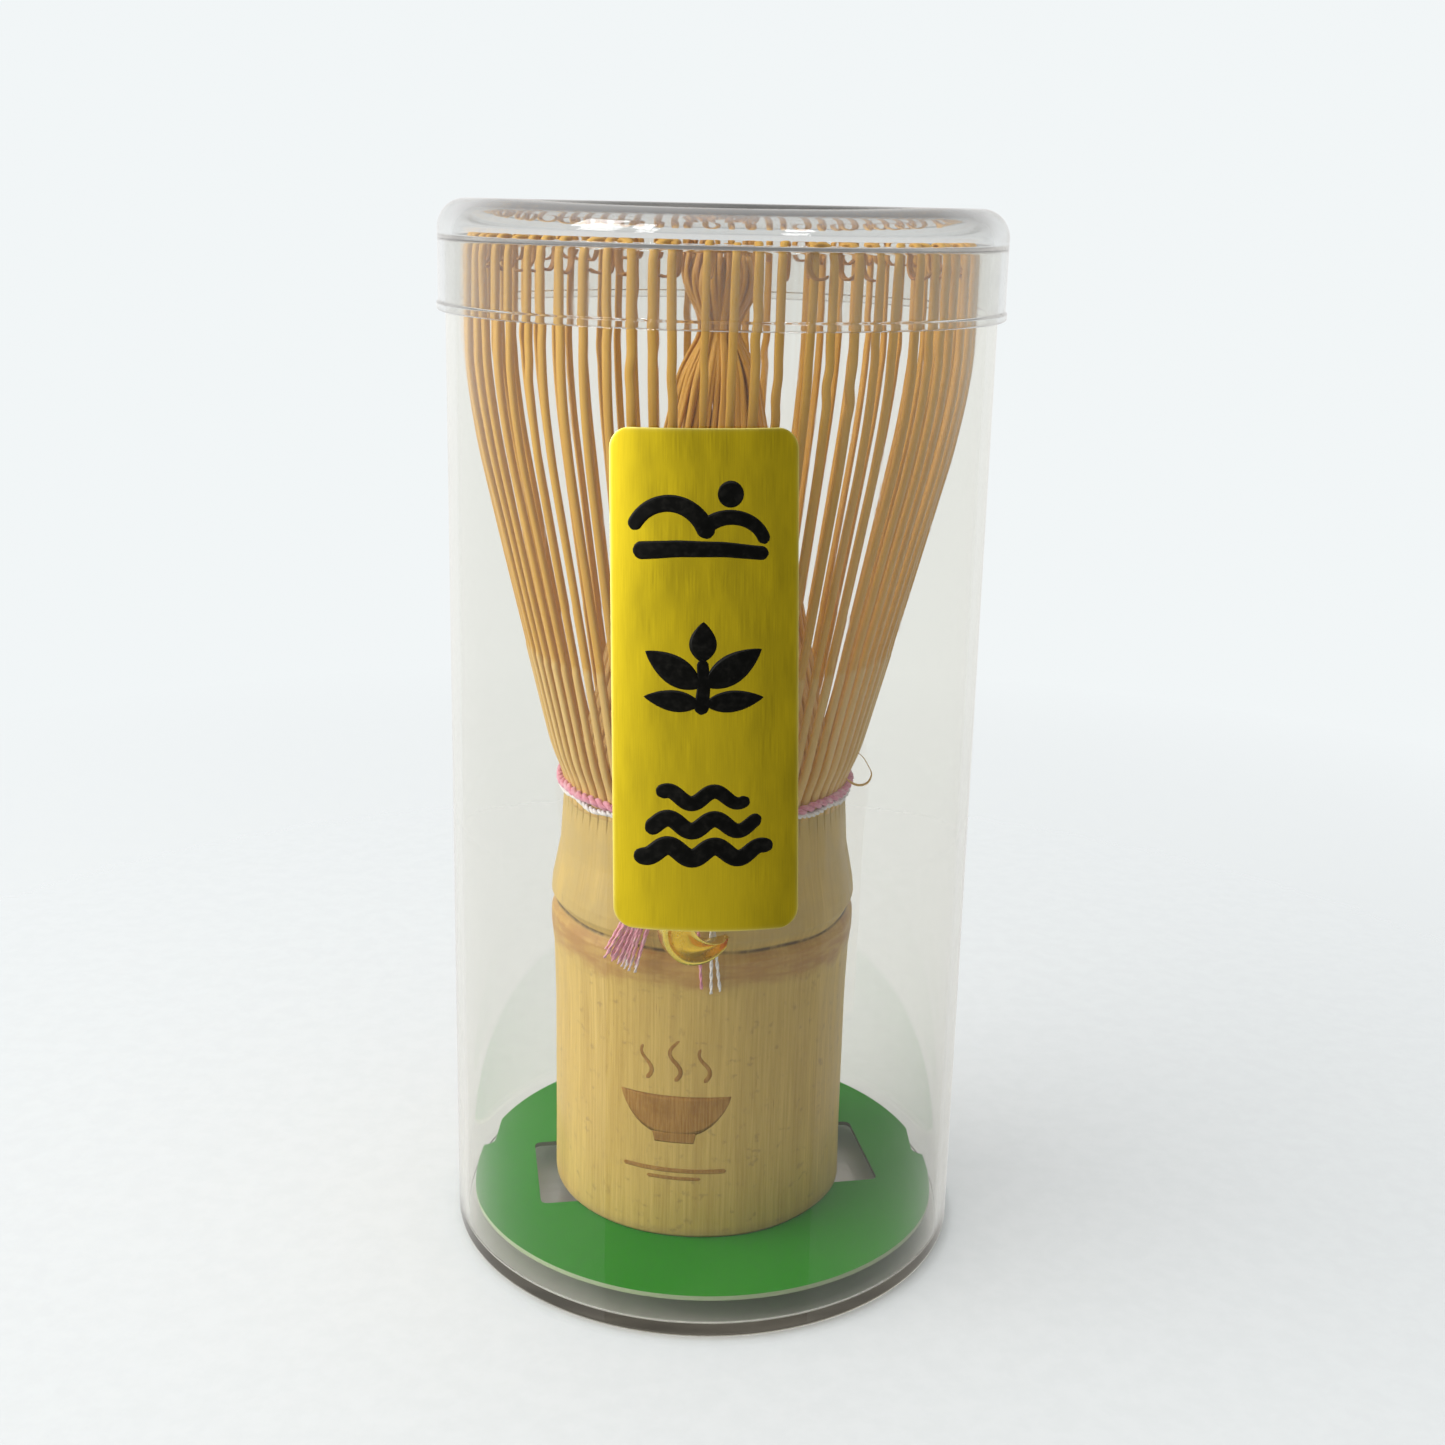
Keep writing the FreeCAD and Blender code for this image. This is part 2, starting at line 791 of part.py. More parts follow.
SUB_PARTS = [
    case_tube,
    case_lid,
    base_insert,
    foil_label,
    whisk_handle,
    outer_tines,
    inner_tines,
    thread_pink,
    thread_white,
    inner_lacing,
    thread_knot,
    tassel_pink,
    tail_white,
    tail_pink,
    moon_charm,
    charm_loop,
]


def check(doc, parts):
    for thing in doc.Objects:
        if {"Invalid", "Error"} & set(thing.State):
            raise RuntimeError(f"{thing.Name} failed: {thing.State}")
    for part in parts:
        if part.Shape.isNull() or not part.Shape.isValid():
            raise RuntimeError(f"{part.Label} has no valid shape")


def main():
    doc = FreeCAD.newDocument("tea_whisk")
    make_sheet(doc)
    parts = [build(doc) for build in SUB_PARTS]
    doc.recompute()
    check(doc, parts)
    os.makedirs("parts", exist_ok=True)
    for part in parts:
        part.Shape.exportStep(f"parts/{part.Label}.step")
        box = part.Shape.BoundBox
        print(f"{part.Label}: {part.Shape.Volume:.1f} mm3, z {box.ZMin:.2f} to {box.ZMax:.2f},"
              f" {len(part.Shape.Solids)} solid")


main()
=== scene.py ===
"""Looks of the bamboo tea whisk in its clear case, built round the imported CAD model.

Lengths are in millimetres until add_mesh() turns them into metres. The label and the charm face -Y.
"""

from math import acos, asin, atan2, cos, hypot, pi, radians, sin, tan

import bpy
import numpy as np
from mathutils import Matrix, Vector


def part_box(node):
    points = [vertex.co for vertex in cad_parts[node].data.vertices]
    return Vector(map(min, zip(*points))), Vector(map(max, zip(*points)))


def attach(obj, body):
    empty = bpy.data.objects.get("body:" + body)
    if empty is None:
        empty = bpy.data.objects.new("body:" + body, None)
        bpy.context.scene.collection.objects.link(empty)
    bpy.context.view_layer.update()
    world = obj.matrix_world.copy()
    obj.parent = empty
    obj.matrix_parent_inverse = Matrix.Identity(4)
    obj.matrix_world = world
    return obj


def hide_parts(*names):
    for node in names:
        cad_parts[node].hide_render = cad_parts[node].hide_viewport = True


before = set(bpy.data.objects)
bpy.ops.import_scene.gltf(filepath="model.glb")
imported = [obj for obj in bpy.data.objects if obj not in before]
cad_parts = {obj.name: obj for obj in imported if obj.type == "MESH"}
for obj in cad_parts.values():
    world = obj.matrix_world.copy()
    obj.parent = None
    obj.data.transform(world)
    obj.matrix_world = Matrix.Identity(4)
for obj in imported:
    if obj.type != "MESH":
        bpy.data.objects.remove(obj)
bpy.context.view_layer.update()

MM = 0.001
TAU = 2 * pi
FRONT = -pi / 2
UP = np.array([0.0, 0.0, 1.0])


def node_box(node):
    """Lowest and highest corner of a CAD node, in millimetres."""
    low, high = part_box(node)
    return np.array(low) / MM, np.array(high) / MM


def centre_of(node):
    low, high = node_box(node)
    return (low + high) / 2


# Places and sizes that come from the CAD model
TUBE_LOW, TUBE_HIGH = node_box("case_tube")
LID_LOW, LID_HIGH = node_box("case_lid")
LABEL_LOW, LABEL_HIGH = node_box("foil_label")
TUBE_RADIUS = (TUBE_HIGH[0] - TUBE_LOW[0]) / 2
RIM_Z = TUBE_HIGH[2]
LID_RADIUS = (LID_HIGH[0] - LID_LOW[0]) / 2
CARD_TOP = node_box("base_insert")[1][2]
WHISK_AXIS = centre_of("thread_pink") * np.array([1, 1, 0])
HANDLE_FOOT = node_box("whisk_handle")[0][2]

# Sizes that the CAD boxes don't give
TUBE_WALL = 1.1
FLOOR_THICK = 1.4
LID_GAP = 0.1
LID_WALL = 0.7
LID_TOP_THICK = 1.2
LID_CORNER = 3.2
SPLIT_Z = 53.2  # lower ends of the slits between the tines
THREAD_Z = 56.4
SKIN_END_Z = 73.6  # the pale bamboo skin is left on the tines up to here
TINE_COUNT = 72


# mesh tools


def coords(*arrays):
    return np.stack(arrays, axis=-1)


def circle(angles):
    return coords(np.cos(angles), np.sin(angles))


def length_of(vectors):
    return np.linalg.norm(vectors, axis=1, keepdims=True)


def scene_object(name, data):
    item = bpy.data.objects.new(name, data)
    bpy.context.scene.collection.objects.link(item)
    return item


def raw_mesh(name, points, faces, scale=MM):
    mesh = bpy.data.meshes.new(name)
    mesh.from_pydata((np.asarray(points, float) * scale).tolist(), [], faces)
    return mesh


def evaluated_mesh(item):
    """Mesh of an object with its modifiers or curve settings applied."""
    bpy.context.view_layer.update()
    return bpy.data.meshes.new_from_object(item.evaluated_get(bpy.context.evaluated_depsgraph_get()))


def add_mesh(name, points, faces, material, body, replaces=(), smooth=True, values=None):
    """Makes a piece from points in millimetres. values holds float or vector attributes by name."""
    mesh = raw_mesh(name, points, faces)
    mesh.validate()
    if smooth:
        mesh.shade_smooth()
    for key, data in (values or {}).items():
        data = np.asarray(data, np.float32)
        kind, field = ("FLOAT", "value") if data.ndim == 1 else ("FLOAT_VECTOR", "vector")
        mesh.attributes.new(key, kind, "POINT").data.foreach_set(field, data.ravel())
    mesh.materials.append(material)
    piece = scene_object(name, mesh)
    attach(piece, body)
    if replaces:
        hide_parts(*replaces)
    return piece


def rounded_profile(corners, steps=6, support=0.05):
    """Closed (radius, height) outline. A corner (r, z, rounding) with rounding becomes an arc between
    two support points, which keep the shading of the flat stretches flat."""
    points = []
    for index, (r, z, rounding) in enumerate(corners):
        here = np.array([r, z])
        if rounding == 0:
            points.append(here)
            continue
        before = np.array(corners[index - 1][:2]) - here
        after = np.array(corners[(index + 1) % len(corners)][:2]) - here
        before /= np.linalg.norm(before)
        after /= np.linalg.norm(after)
        half = acos(np.clip(before @ after, -1, 1)) / 2
        reach = rounding / tan(half)
        middle = here + (before + after) / np.linalg.norm(before + after) * rounding / sin(half)
        start, finish = here + before * reach, here + after * reach
        first = atan2(*(start - middle)[::-1])
        sweep = (atan2(*(finish - middle)[::-1]) - first + pi) % TAU - pi
        points.append(start + before * support)
        for step in range(steps + 1):
            angle = first + sweep * step / steps
            points.append(middle + rounding * np.array([cos(angle), sin(angle)]))
        points.append(finish + after * support)
    return np.array(points)


def lathe_mesh(profile, segments, shape=None):
    """Points, faces and angles of a closed outline turned about Z. shape(radius, angle, z) may move
    the points."""
    rings = len(profile)
    angles = np.arange(segments) / segments * TAU + FRONT
    radius, angle = np.meshgrid(profile[:, 0], angles, indexing="ij")
    height = np.repeat(profile[:, 1:2], segments, axis=1)
    if shape is not None:
        radius, height = shape(radius, angle, height)
    points = coords(radius * np.cos(angle), radius * np.sin(angle), height).reshape(-1, 3)
    faces = grid_faces(rings, segments, True, True)
    if profile[-1, 0] == 0 and profile[0, 0] == 0:
        faces = faces[:-segments]
    return points, faces, angle.reshape(-1)


def merge_poles(points, faces):
    """Joins the points that lie on the axis, so that a turned piece is closed there."""
    unique, index = np.unique(np.round(points, 5), axis=0, return_inverse=True)
    index = index.reshape(-1)
    merged = []
    for face in faces:
        corners = []
        for corner in (int(index[k]) for k in face):
            if not corners or (corner != corners[-1] and corner != corners[0]):
                corners.append(corner)
        if len(corners) > 2:
            merged.append(tuple(corners))
    return unique, merged


def grid_faces(rows, columns, wrap_rows=False, wrap_columns=False, start=0):
    faces = []
    for i in range(rows if wrap_rows else rows - 1):
        here, above = start + i * columns, start + (i + 1) % rows * columns
        for k in range(columns if wrap_columns else columns - 1):
            m = (k + 1) % columns
            faces.append((here + k, here + m, above + m, above + k))
    return faces


def smooth_line(points, spacing, softness=3):
    """Resamples a polyline at an even spacing and softens its corners."""
    points = np.asarray(points, float)
    reach = arc_length(points)
    at = np.linspace(0, reach[-1], max(8, int(reach[-1] / spacing)))
    line = coords(*(np.interp(at, reach, column) for column in points.T))
    for _ in range(softness):
        line[1:-1] = (line[:-2] + 2 * line[1:-1] + line[2:]) / 4
    return line


def arc_length(line):
    return np.concatenate([[0], np.cumsum(np.linalg.norm(np.diff(line, axis=0), axis=1))])


def tangents(line):
    step = np.gradient(line, axis=0)
    return step / length_of(step)


def strip(line, outward, width, thick, bevel=0.12):
    """Bevelled splint along a line; outward is the direction its outer face looks. Eight points a
    station."""
    along = tangents(line)
    side = np.cross(along, outward)
    side /= length_of(side)
    out = np.cross(side, along)
    w, t = width[:, None] / 2, thick[:, None]
    c = np.minimum(bevel, np.minimum(w, t / 2) * 0.6)
    ring = [(w - c, 0 * t), (w, -c), (w, -t + c), (w - c, -t)]
    ring += [(-a, b) for a, b in ring[::-1]]
    points = np.stack([line + side * a + out * b for a, b in ring], axis=1)
    across = np.concatenate([a for a, b in ring], axis=1)
    depth = np.concatenate([-b for a, b in ring], axis=1)
    return points, across, depth


def strip_faces(stations, start=0, sides=8):
    last = start + (stations - 1) * sides
    caps = [tuple(range(start, start + sides))[::-1], tuple(range(last, last + sides))]
    return grid_faces(stations, sides, wrap_columns=True, start=start) + caps


def cord(line, radius, sides=10):
    """Round cord along a line; radius is a number or one value a station."""
    along = tangents(line)
    radius = np.broadcast_to(np.asarray(radius, float), (len(line),))
    normal = np.cross(along[0], [0.31, 0.17, 0.93])
    normal /= np.linalg.norm(normal)
    turn = np.arange(sides) / sides * TAU
    points = []
    for here, ahead, size in zip(line, along, radius):
        normal = normal - ahead * (normal @ ahead)
        normal /= np.linalg.norm(normal)
        other = np.cross(ahead, normal)
        points.append(here + size * (np.outer(np.cos(turn), normal) + np.outer(np.sin(turn), other)))
    return np.concatenate(points)


def joined(parts, sides):
    """One list of points and faces from several cords or strips of the given number of sides."""
    faces, start = [], 0
    for part in parts:
        faces += strip_faces(len(part) // sides, start, sides)
        start += len(part)
    return np.concatenate(parts), faces


# materials

SURFACE_INPUTS = {"colour": "Base Color", "rough": "Roughness", "metal": "Metallic", "normal": "Normal",
                  "coat": "Coat Weight", "coat_rough": "Coat Roughness", "sheen": "Sheen Weight",
                  "sheen_rough": "Sheen Roughness", "specular": "Specular IOR Level"}


class Shader:
    """The nodes of a material or a world under construction."""

    def __init__(self, owner):
        self.owner = owner
        owner.use_nodes = True
        self.tree = owner.node_tree
        self.tree.nodes.clear()

    def node(self, kind, inputs=None, **settings):
        node = self.tree.nodes.new("ShaderNode" + kind)
        for key, value in settings.items():
            setattr(node, key, value)
        for key, value in (inputs or {}).items():
            socket = node.inputs[key]
            if isinstance(value, bpy.types.NodeSocket):
                self.tree.links.new(value, socket)
            elif socket.type == "RGBA":
                socket.default_value = (*value, 1)
            else:
                socket.default_value = value
        return node

    def out(self, kind, inputs=None, output=0, **settings):
        return self.node(kind, inputs, **settings).outputs[output]

    def attribute(self, name, output="Fac"):
        return self.out("Attribute", None, output, attribute_name=name)

    def place(self):
        return self.out("TexCoord", None, "Object")

    def parts(self, vector):
        return self.node("SeparateXYZ", {0: vector}).outputs

    def noise(self, place, scale, detail=3.0, roughness=0.55):
        """Noise at one scale, or at a scale for each direction."""
        if isinstance(scale, tuple):
            place = self.out("Mapping", {"Vector": place, "Scale": scale})
            scale = 1.0
        inputs = {"Vector": place, "Scale": scale, "Detail": detail, "Roughness": roughness}
        return self.out("TexNoise", inputs, "Fac")

    def patches(self, place, scale, detail, roughness, low, high, to_low=0.0, to_high=1.0):
        """Noise between low and high, spread to a new range."""
        return self.remap(self.noise(place, scale, detail, roughness), low, high, to_low, to_high)

    def ramp(self, value, stops):
        node = self.node("ValToRGB", {"Fac": value})
        elements = node.color_ramp.elements
        while len(elements) < len(stops):
            elements.new(0.5)
        for element, (position, colour) in zip(elements, stops):
            element.position = position
            element.color = (*colour, 1)
        return node.outputs["Color"]

    def math(self, operation, first, second=0.0):
        return self.out("Math", {0: first, 1: second}, operation=operation)

    def times(self, first, second):
        return self.math("MULTIPLY", first, second)

    def plus(self, first, second):
        return self.math("ADD", first, second)

    def remap(self, value, low, high, to_low=0.0, to_high=1.0, kind="SMOOTHSTEP"):
        inputs = {"Value": value, "From Min": low, "From Max": high, "To Min": to_low, "To Max": to_high}
        return self.out("MapRange", inputs, interpolation_type=kind)

    def mix(self, factor, first, second, blend="MIX"):
        return self.out("Mix", {0: factor, 6: first, 7: second}, 2, data_type="RGBA", blend_type=blend)

    def either(self, factor, first, second):
        """Mix of two shaders."""
        return self.out("MixShader", {0: factor, 1: first, 2: second})

    def bump(self, height, strength, distance):
        return self.out("Bump", {"Height": height, "Strength": strength, "Distance": distance * MM})

    def surface(self, **inputs):
        return self.out("BsdfPrincipled", {SURFACE_INPUTS[key]: value for key, value in inputs.items()})

    def solid(self, **inputs):
        return self.finish(self.surface(**inputs))

    def finish(self, surface, **others):
        self.node("OutputMaterial", {"Surface": surface, **others})
        return self.owner


def new_material(name):
    return Shader(bpy.data.materials.new(name))


TRAPPED_DEPTH = 12.5  # bounces after which a path inside the plastic counts as trapped


def clear_plastic(name, tint, roughness, wave, thickness_dimming, trapped):
    """Thin moulded plastic, greyer where it is looked at edge on. Shadow and diffuse rays pass
    straight through, so the contents stay lit; trapped paths end in a painted grey glow,
    brighter towards the sides, in place of the light they would gather."""
    mat = new_material(name)
    place = mat.place()
    normal = mat.bump(mat.noise(place, 55.0, 1.0), wave, 1.0)
    rough = mat.patches(place, (900.0, 900.0, 60.0), 4.0, 0.7, 0.55, 0.8, roughness, roughness + 0.12)
    glass = mat.out("BsdfGlass", {"Color": tint, "Roughness": rough, "IOR": 1.49, "Normal": normal})
    clear = mat.out("BsdfTransparent", {"Color": [0.5 + 0.5 * value for value in tint]})
    streaks = mat.patches(place, (90.0, 90.0, 600.0), 3.0, 0.55, 0.35, 0.65, 0.7, 1.3)
    sideways = mat.math("ABSOLUTE", mat.parts(place)[0])
    streaks = mat.times(streaks, mat.remap(sideways, 0.008, 0.028, 0.8, 2.4))
    # painted glow: trapped paths shine in the given grey, brighter towards the sides, instead of gathering
    # light
    glow = mat.out("Emission", {"Color": trapped, "Strength": streaks})
    mat.owner.cycles.emission_sampling = "NONE"
    rays = mat.node("LightPath").outputs
    passing = mat.math("MAXIMUM", rays["Is Shadow Ray"], rays["Is Diffuse Ray"])
    late = mat.math("GREATER_THAN", rays["Ray Depth"], TRAPPED_DEPTH)
    body = mat.out("VolumeAbsorption", {"Color": (0.62, 0.61, 0.58), "Density": thickness_dimming})
    return mat.finish(mat.either(passing, mat.either(late, glass, glow), clear), Volume=body)


def bamboo(name, light, dark, fleck, details, rough=0.45, coat=0.05):
    """Bamboo with fibres along the third coordinate of the grain attribute, in millimetres.
    details(mat, colour, grain) adds what only one piece has."""
    mat = new_material(name)
    grain = mat.attribute("grain", "Vector")
    broad = mat.noise(grain, (0.55, 0.55, 0.03), 3.0, 0.6)
    fibres = mat.noise(grain, (4.2, 4.2, 0.09), 5.0, 0.65)
    fine = mat.noise(grain, (8.0, 8.0, 0.25), 2.0, 0.5)
    shade = mat.plus(mat.times(broad, 0.45), mat.times(fibres, 0.55))
    middle = [(a + b) / 2 for a, b in zip(light, dark)]
    colour = mat.ramp(shade, [(0.36, dark), (0.5, middle), (0.62, light)])
    colour = mat.mix(mat.remap(fine, 0.35, 0.7, 0.0, 0.12), colour, dark, "MULTIPLY")
    colour = mat.mix(mat.patches(grain, (5.0, 5.0, 0.5), 2.0, 0.4, 0.68, 0.8, 0.0, 0.5), colour, fleck)
    colour = details(mat, colour, grain)
    normal = mat.bump(mat.plus(mat.times(fibres, 0.7), mat.times(fine, 0.3)), 0.25, 0.05)
    wear = mat.remap(broad, 0.3, 0.7, rough - 0.05, rough + 0.1)
    return mat.solid(colour=colour, rough=wear, normal=normal, specular=0.3, coat=coat, coat_rough=0.3)


def handle_bands(mat, colour, grain):
    """Duller neck, brown root scar below the node, the dark line in its groove and a darker foot."""
    height = mat.parts(grain)[2]
    stain = mat.patches(grain, 0.22, 4.0, 0.65, 0.3, 0.7, 0.25, 0.75)
    colour = mat.mix(mat.times(mat.remap(height, 41.2, 42.6), stain), colour, (0.50, 0.365, 0.13))
    spots = mat.patches(grain, (0.8, 0.8, 1.0), 3.0, 0.6, 0.58, 0.72, 0.0, 0.4)
    near_node = mat.remap(height, 41.6, 45.5, 1.0, 0.15)
    colour = mat.mix(mat.times(spots, near_node), colour, (0.30, 0.19, 0.07))
    ragged = mat.noise(grain, (0.25, 0.25, 0.30), 4.0, 0.6)
    level = mat.plus(height, mat.times(mat.math("SUBTRACT", ragged, 0.5), 4.0))
    band = mat.times(mat.remap(level, 35.9, 38.1), mat.remap(height, 40.6, 41.3, 1.0, 0.0))
    blotch = mat.patches(grain, (0.25, 0.25, 1.3), 4.0, 0.6, 0.3, 0.7, 0.40, 0.88)
    colour = mat.mix(mat.times(band, blotch), colour, (0.43, 0.215, 0.06))
    seam = mat.times(mat.remap(height, 40.75, 41.05), mat.remap(height, 41.15, 41.5, 1.0, 0.0))
    broken = mat.patches(grain, (0.5, 0.5, 0.1), 3.0, 0.6, 0.3, 0.6, 0.35, 0.9)
    colour = mat.mix(mat.times(seam, broken), colour, (0.10, 0.06, 0.025))
    foot = mat.remap(height, HANDLE_FOOT + 0.2, HANDLE_FOOT + 1.6, 0.35, 0.0)
    return mat.mix(foot, colour, (0.33, 0.22, 0.10))


def tine_colours(mat, colour, grain):
    """Pale skin low on the outer face, golden shaved wood above, rusty tips. The inner faces and
    sides turn darker brown, partly the shaved wood's own tone and partly painted shade.
    """
    inside = mat.attribute("inside")
    skin = mat.remap(mat.attribute("height"), SKIN_END_Z - 0.5, SKIN_END_Z + 0.5, 0.75, 0.0)
    skin = mat.times(skin, mat.math("SUBTRACT", 1.0, inside))
    colour = mat.mix(skin, colour, (0.74, 0.52, 0.19))
    # partly painted shade: the inner faces and sides turn darker brown
    colour = mat.mix(mat.times(inside, 0.30), colour, (0.50, 0.23, 0.03))
    colour = mat.mix(mat.times(mat.attribute("tint"), 0.35), colour, (0.57, 0.30, 0.035))
    return mat.mix(mat.times(mat.attribute("tip"), 0.85), colour, (0.36, 0.13, 0.03))


def foil(name):
    mat = new_material(name)
    grain = mat.attribute("grain", "Vector")
    brushed = mat.noise(grain, (13.0, 0.22, 1.0), 4.0, 0.65)
    colour = mat.mix(mat.remap(brushed, 0.25, 0.75), (0.625, 0.462, 0.001), (0.725, 0.552, 0.005))
    # painted highlight: the label's rim, and its back, turn pale yellow
    colour = mat.mix(mat.times(mat.attribute("edge"), 0.75), colour, (1.0, 0.93, 0.35))
    cloudy = mat.patches(grain, (0.35, 0.12, 1.0), 2.0, 0.5, 0.3, 0.7, -0.03, 0.05)
    rough = mat.plus(mat.remap(brushed, 0.3, 0.7, 0.36, 0.46), cloudy)
    normal = mat.bump(brushed, 0.08, 0.02)
    return mat.solid(colour=colour, metal=0.9, rough=rough, normal=normal, coat=0.35, coat_rough=0.4)


def ink(name):
    mat = new_material(name)
    mottle = mat.noise(mat.place(), 1400.0, 4.0, 0.7)
    colour = mat.mix(mat.remap(mottle, 0.45, 0.75), (0.003, 0.003, 0.002), (0.012, 0.011, 0.008))
    rough = mat.remap(mottle, 0.3, 0.7, 0.4, 0.6)
    return mat.solid(colour=colour, rough=rough, specular=0.2, normal=mat.bump(mottle, 0.2, 0.02))


def burnt_mark(name):
    mat = new_material(name)
    place = mat.place()
    grain = mat.noise(place, (5200.0, 5200.0, 260.0), 4.0, 0.65)
    colour = mat.mix(mat.remap(grain, 0.35, 0.65), (0.34, 0.165, 0.032), (0.46, 0.25, 0.06))
    colour = mat.mix(mat.patches(place, 420.0, 3.0, 0.6, 0.4, 0.65, 0.0, 0.45), colour, (0.24, 0.11, 0.02))
    return mat.solid(colour=colour, rough=0.7, specular=0.2, normal=mat.bump(grain, 0.4, 0.05))


def card(name, cut=0.0, edge_colour=(0.50, 0.55, 0.38)):
    """Printed card; cut is how far the colour turns to edge_colour: the card core's own colour
    at cut edges by default, a dark painted shade for the window edges.
    """
    mat = new_material(name)
    place = mat.place()
    fibre = mat.noise(place, 2600.0, 5.0, 0.7)
    colour = mat.mix(mat.remap(fibre, 0.35, 0.7), (0.014, 0.215, 0.004), (0.022, 0.25, 0.008))
    colour = mat.mix(mat.patches(place, 60.0, 3.0, 0.5, 0.35, 0.7, 0.0, 0.35), colour, (0.05, 0.27, 0.03))
    colour = mat.mix(cut, colour, edge_colour)
    rough = mat.remap(fibre, 0.3, 0.7, 0.5, 0.62)
    return mat.solid(colour=colour, rough=rough, specular=0.04, normal=mat.bump(fibre, 0.18, 0.03))


def thread(name, light, dark, paling=None):
    """Spun thread; paling is the height in millimetres below which the frayed ends turn pale."""
    mat = new_material(name)
    place = mat.place()
    lint = mat.noise(place, 5200.0, 4.0, 0.7)
    colour = mat.mix(mat.remap(lint, 0.3, 0.7), dark, light)
    colour = mat.mix(mat.patches(place, 900.0, 2.0, 0.5, 0.5, 0.75, 0.0, 0.4), colour, (0.9, 0.84, 0.84))
    if paling is not None:
        streaks = mat.noise(place, (3200.0, 3200.0, 240.0), 1.0)
        level = mat.plus(mat.parts(place)[2], mat.times(streaks, -5.0 * MM))
        pale = mat.remap(level, (paling - 2.6) * MM, (paling - 1.0) * MM, 0.85, 0.0)
        colour = mat.mix(pale, colour, (0.88, 0.82, 0.82))
    return mat.solid(colour=colour, rough=0.8, normal=mat.bump(lint, 0.5, 0.05), sheen=0.4, sheen_rough=0.5)


def gold(name):
    mat = new_material(name)
    dents = mat.noise(mat.place(), 900.0, 3.0, 0.6)
    colour = mat.mix(mat.remap(dents, 0.35, 0.7), (0.78, 0.58, 0.09), (0.85, 0.66, 0.14))
    # painted shade: the dished face turns a darker, deeper orange
    colour = mat.mix(mat.attribute("hollow"), colour, (0.80, 0.51, 0.045))
    rough = mat.remap(dents, 0.3, 0.7, 0.16, 0.30)
    return mat.solid(colour=colour, metal=1.0, rough=rough, normal=mat.bump(dents, 0.45, 0.10))


# the last colour of each is the grey of its painted glow for trapped paths
CLEAR_TUBE = clear_plastic("clear_tube_plastic", (0.977, 0.972, 0.955), 0.012, 0.0015, 8.0,
                           (0.20, 0.195, 0.197))
CLEAR_LID = clear_plastic("clear_lid_plastic", (0.955, 0.955, 0.952), 0.015, 0.008, 10.0,
                          (0.40, 0.39, 0.385))
BAMBOO_SKIN = bamboo("bamboo_skin", (0.72, 0.515, 0.15), (0.54, 0.36, 0.085), (0.34, 0.19, 0.04),
                     handle_bands)
BAMBOO_TINE = bamboo("bamboo_tine", (0.78, 0.455, 0.065), (0.64, 0.34, 0.038), (0.30, 0.13, 0.02),
                     tine_colours, 0.42, 0.08)
BAMBOO_INNER = bamboo("bamboo_inner", (0.76, 0.42, 0.06), (0.56, 0.27, 0.03), (0.30, 0.12, 0.015),
                      tine_colours, 0.4, 0.08)
FOIL = foil("brushed_gold_foil")
INK = ink("black_ink")
BURNT = burnt_mark("burnt_bamboo")
CARD = card("green_card")
CARD_CUT = card("green_card_cut_edge", 0.75)
# dark painted shade on the window edges and the flaps' sides
CARD_SHADE = card("green_card_window_edge_painted_shade", 0.8, (0.10, 0.085, 0.06))
PINK = thread("pink_thread", (0.82, 0.37, 0.46), (0.60, 0.19, 0.29))
PINK_FRAYED = thread("pink_frayed_thread", (0.86, 0.44, 0.53), (0.74, 0.27, 0.37), 39.6)
WHITE = thread("white_thread", (0.92, 0.91, 0.90), (0.74, 0.72, 0.70))
GOLD = gold("polished_gold")


# clear case

TURNED_SIDES = 256


def turned_piece(name, outline, steps, material, body, node):
    points, faces, _ = lathe_mesh(rounded_profile(outline, steps), TURNED_SIDES)
    points, faces = merge_poles(points, faces)
    return add_mesh(name, points, faces, material, body, [node])


def case_tube():
    inner = TUBE_RADIUS - TUBE_WALL
    outline = [(0, 0, 0), (TUBE_RADIUS, 0, 0.8), (TUBE_RADIUS, RIM_Z, 0.3), (inner, RIM_Z, 0.3),
               (inner, FLOOR_THICK, 0.6), (0, FLOOR_THICK, 0)]
    return turned_piece("clear_tube", outline, 6, CLEAR_TUBE, "case", "case_tube")


def case_lid():
    inner = TUBE_RADIUS + LID_GAP
    outer = inner + LID_WALL
    seat = RIM_Z + 0.05
    seat_inner = 30.2
    low, high = LID_LOW[2], LID_HIGH[2]
    ceiling = high - LID_TOP_THICK
    bead_top = low + 0.8
    outline = [(0, ceiling, 0), (seat_inner, ceiling, 2.2), (seat_inner, seat + 0.2, 0.3), (inner, seat, 0.3),
               (inner, low, 0.12), (LID_RADIUS, low, 0.25), (LID_RADIUS, bead_top, 0.15),
               (outer, bead_top + 0.2, 0.15), (outer, high, LID_CORNER), (0, high, 0)]
    return turned_piece("clear_lid", outline, 10, CLEAR_LID, "lid", "case_lid")


# card insert

CARD_RADIUS = 28.9
CARD_THICK = 0.6
CARD_BEVEL = 0.05
CARD_TURN = radians(10)
WINDOW_NEAR, WINDOW_FAR, WINDOW_HALF = 10.0, 21.2, 7.3
WINDOW_CORNER = 0.9
NOTCH_LOW, NOTCH_DEEP = 2.5, 1.5
# SHADED is the slot of the dark painted shade
PRINTED, CUT, SHADED = 0, 1, 2  # material slots of the card


def turned(points, angle):
    """Flat points turned about the middle."""
    turn = np.array([[cos(angle), sin(angle)], [-sin(angle), cos(angle)]])
    return points @ turn


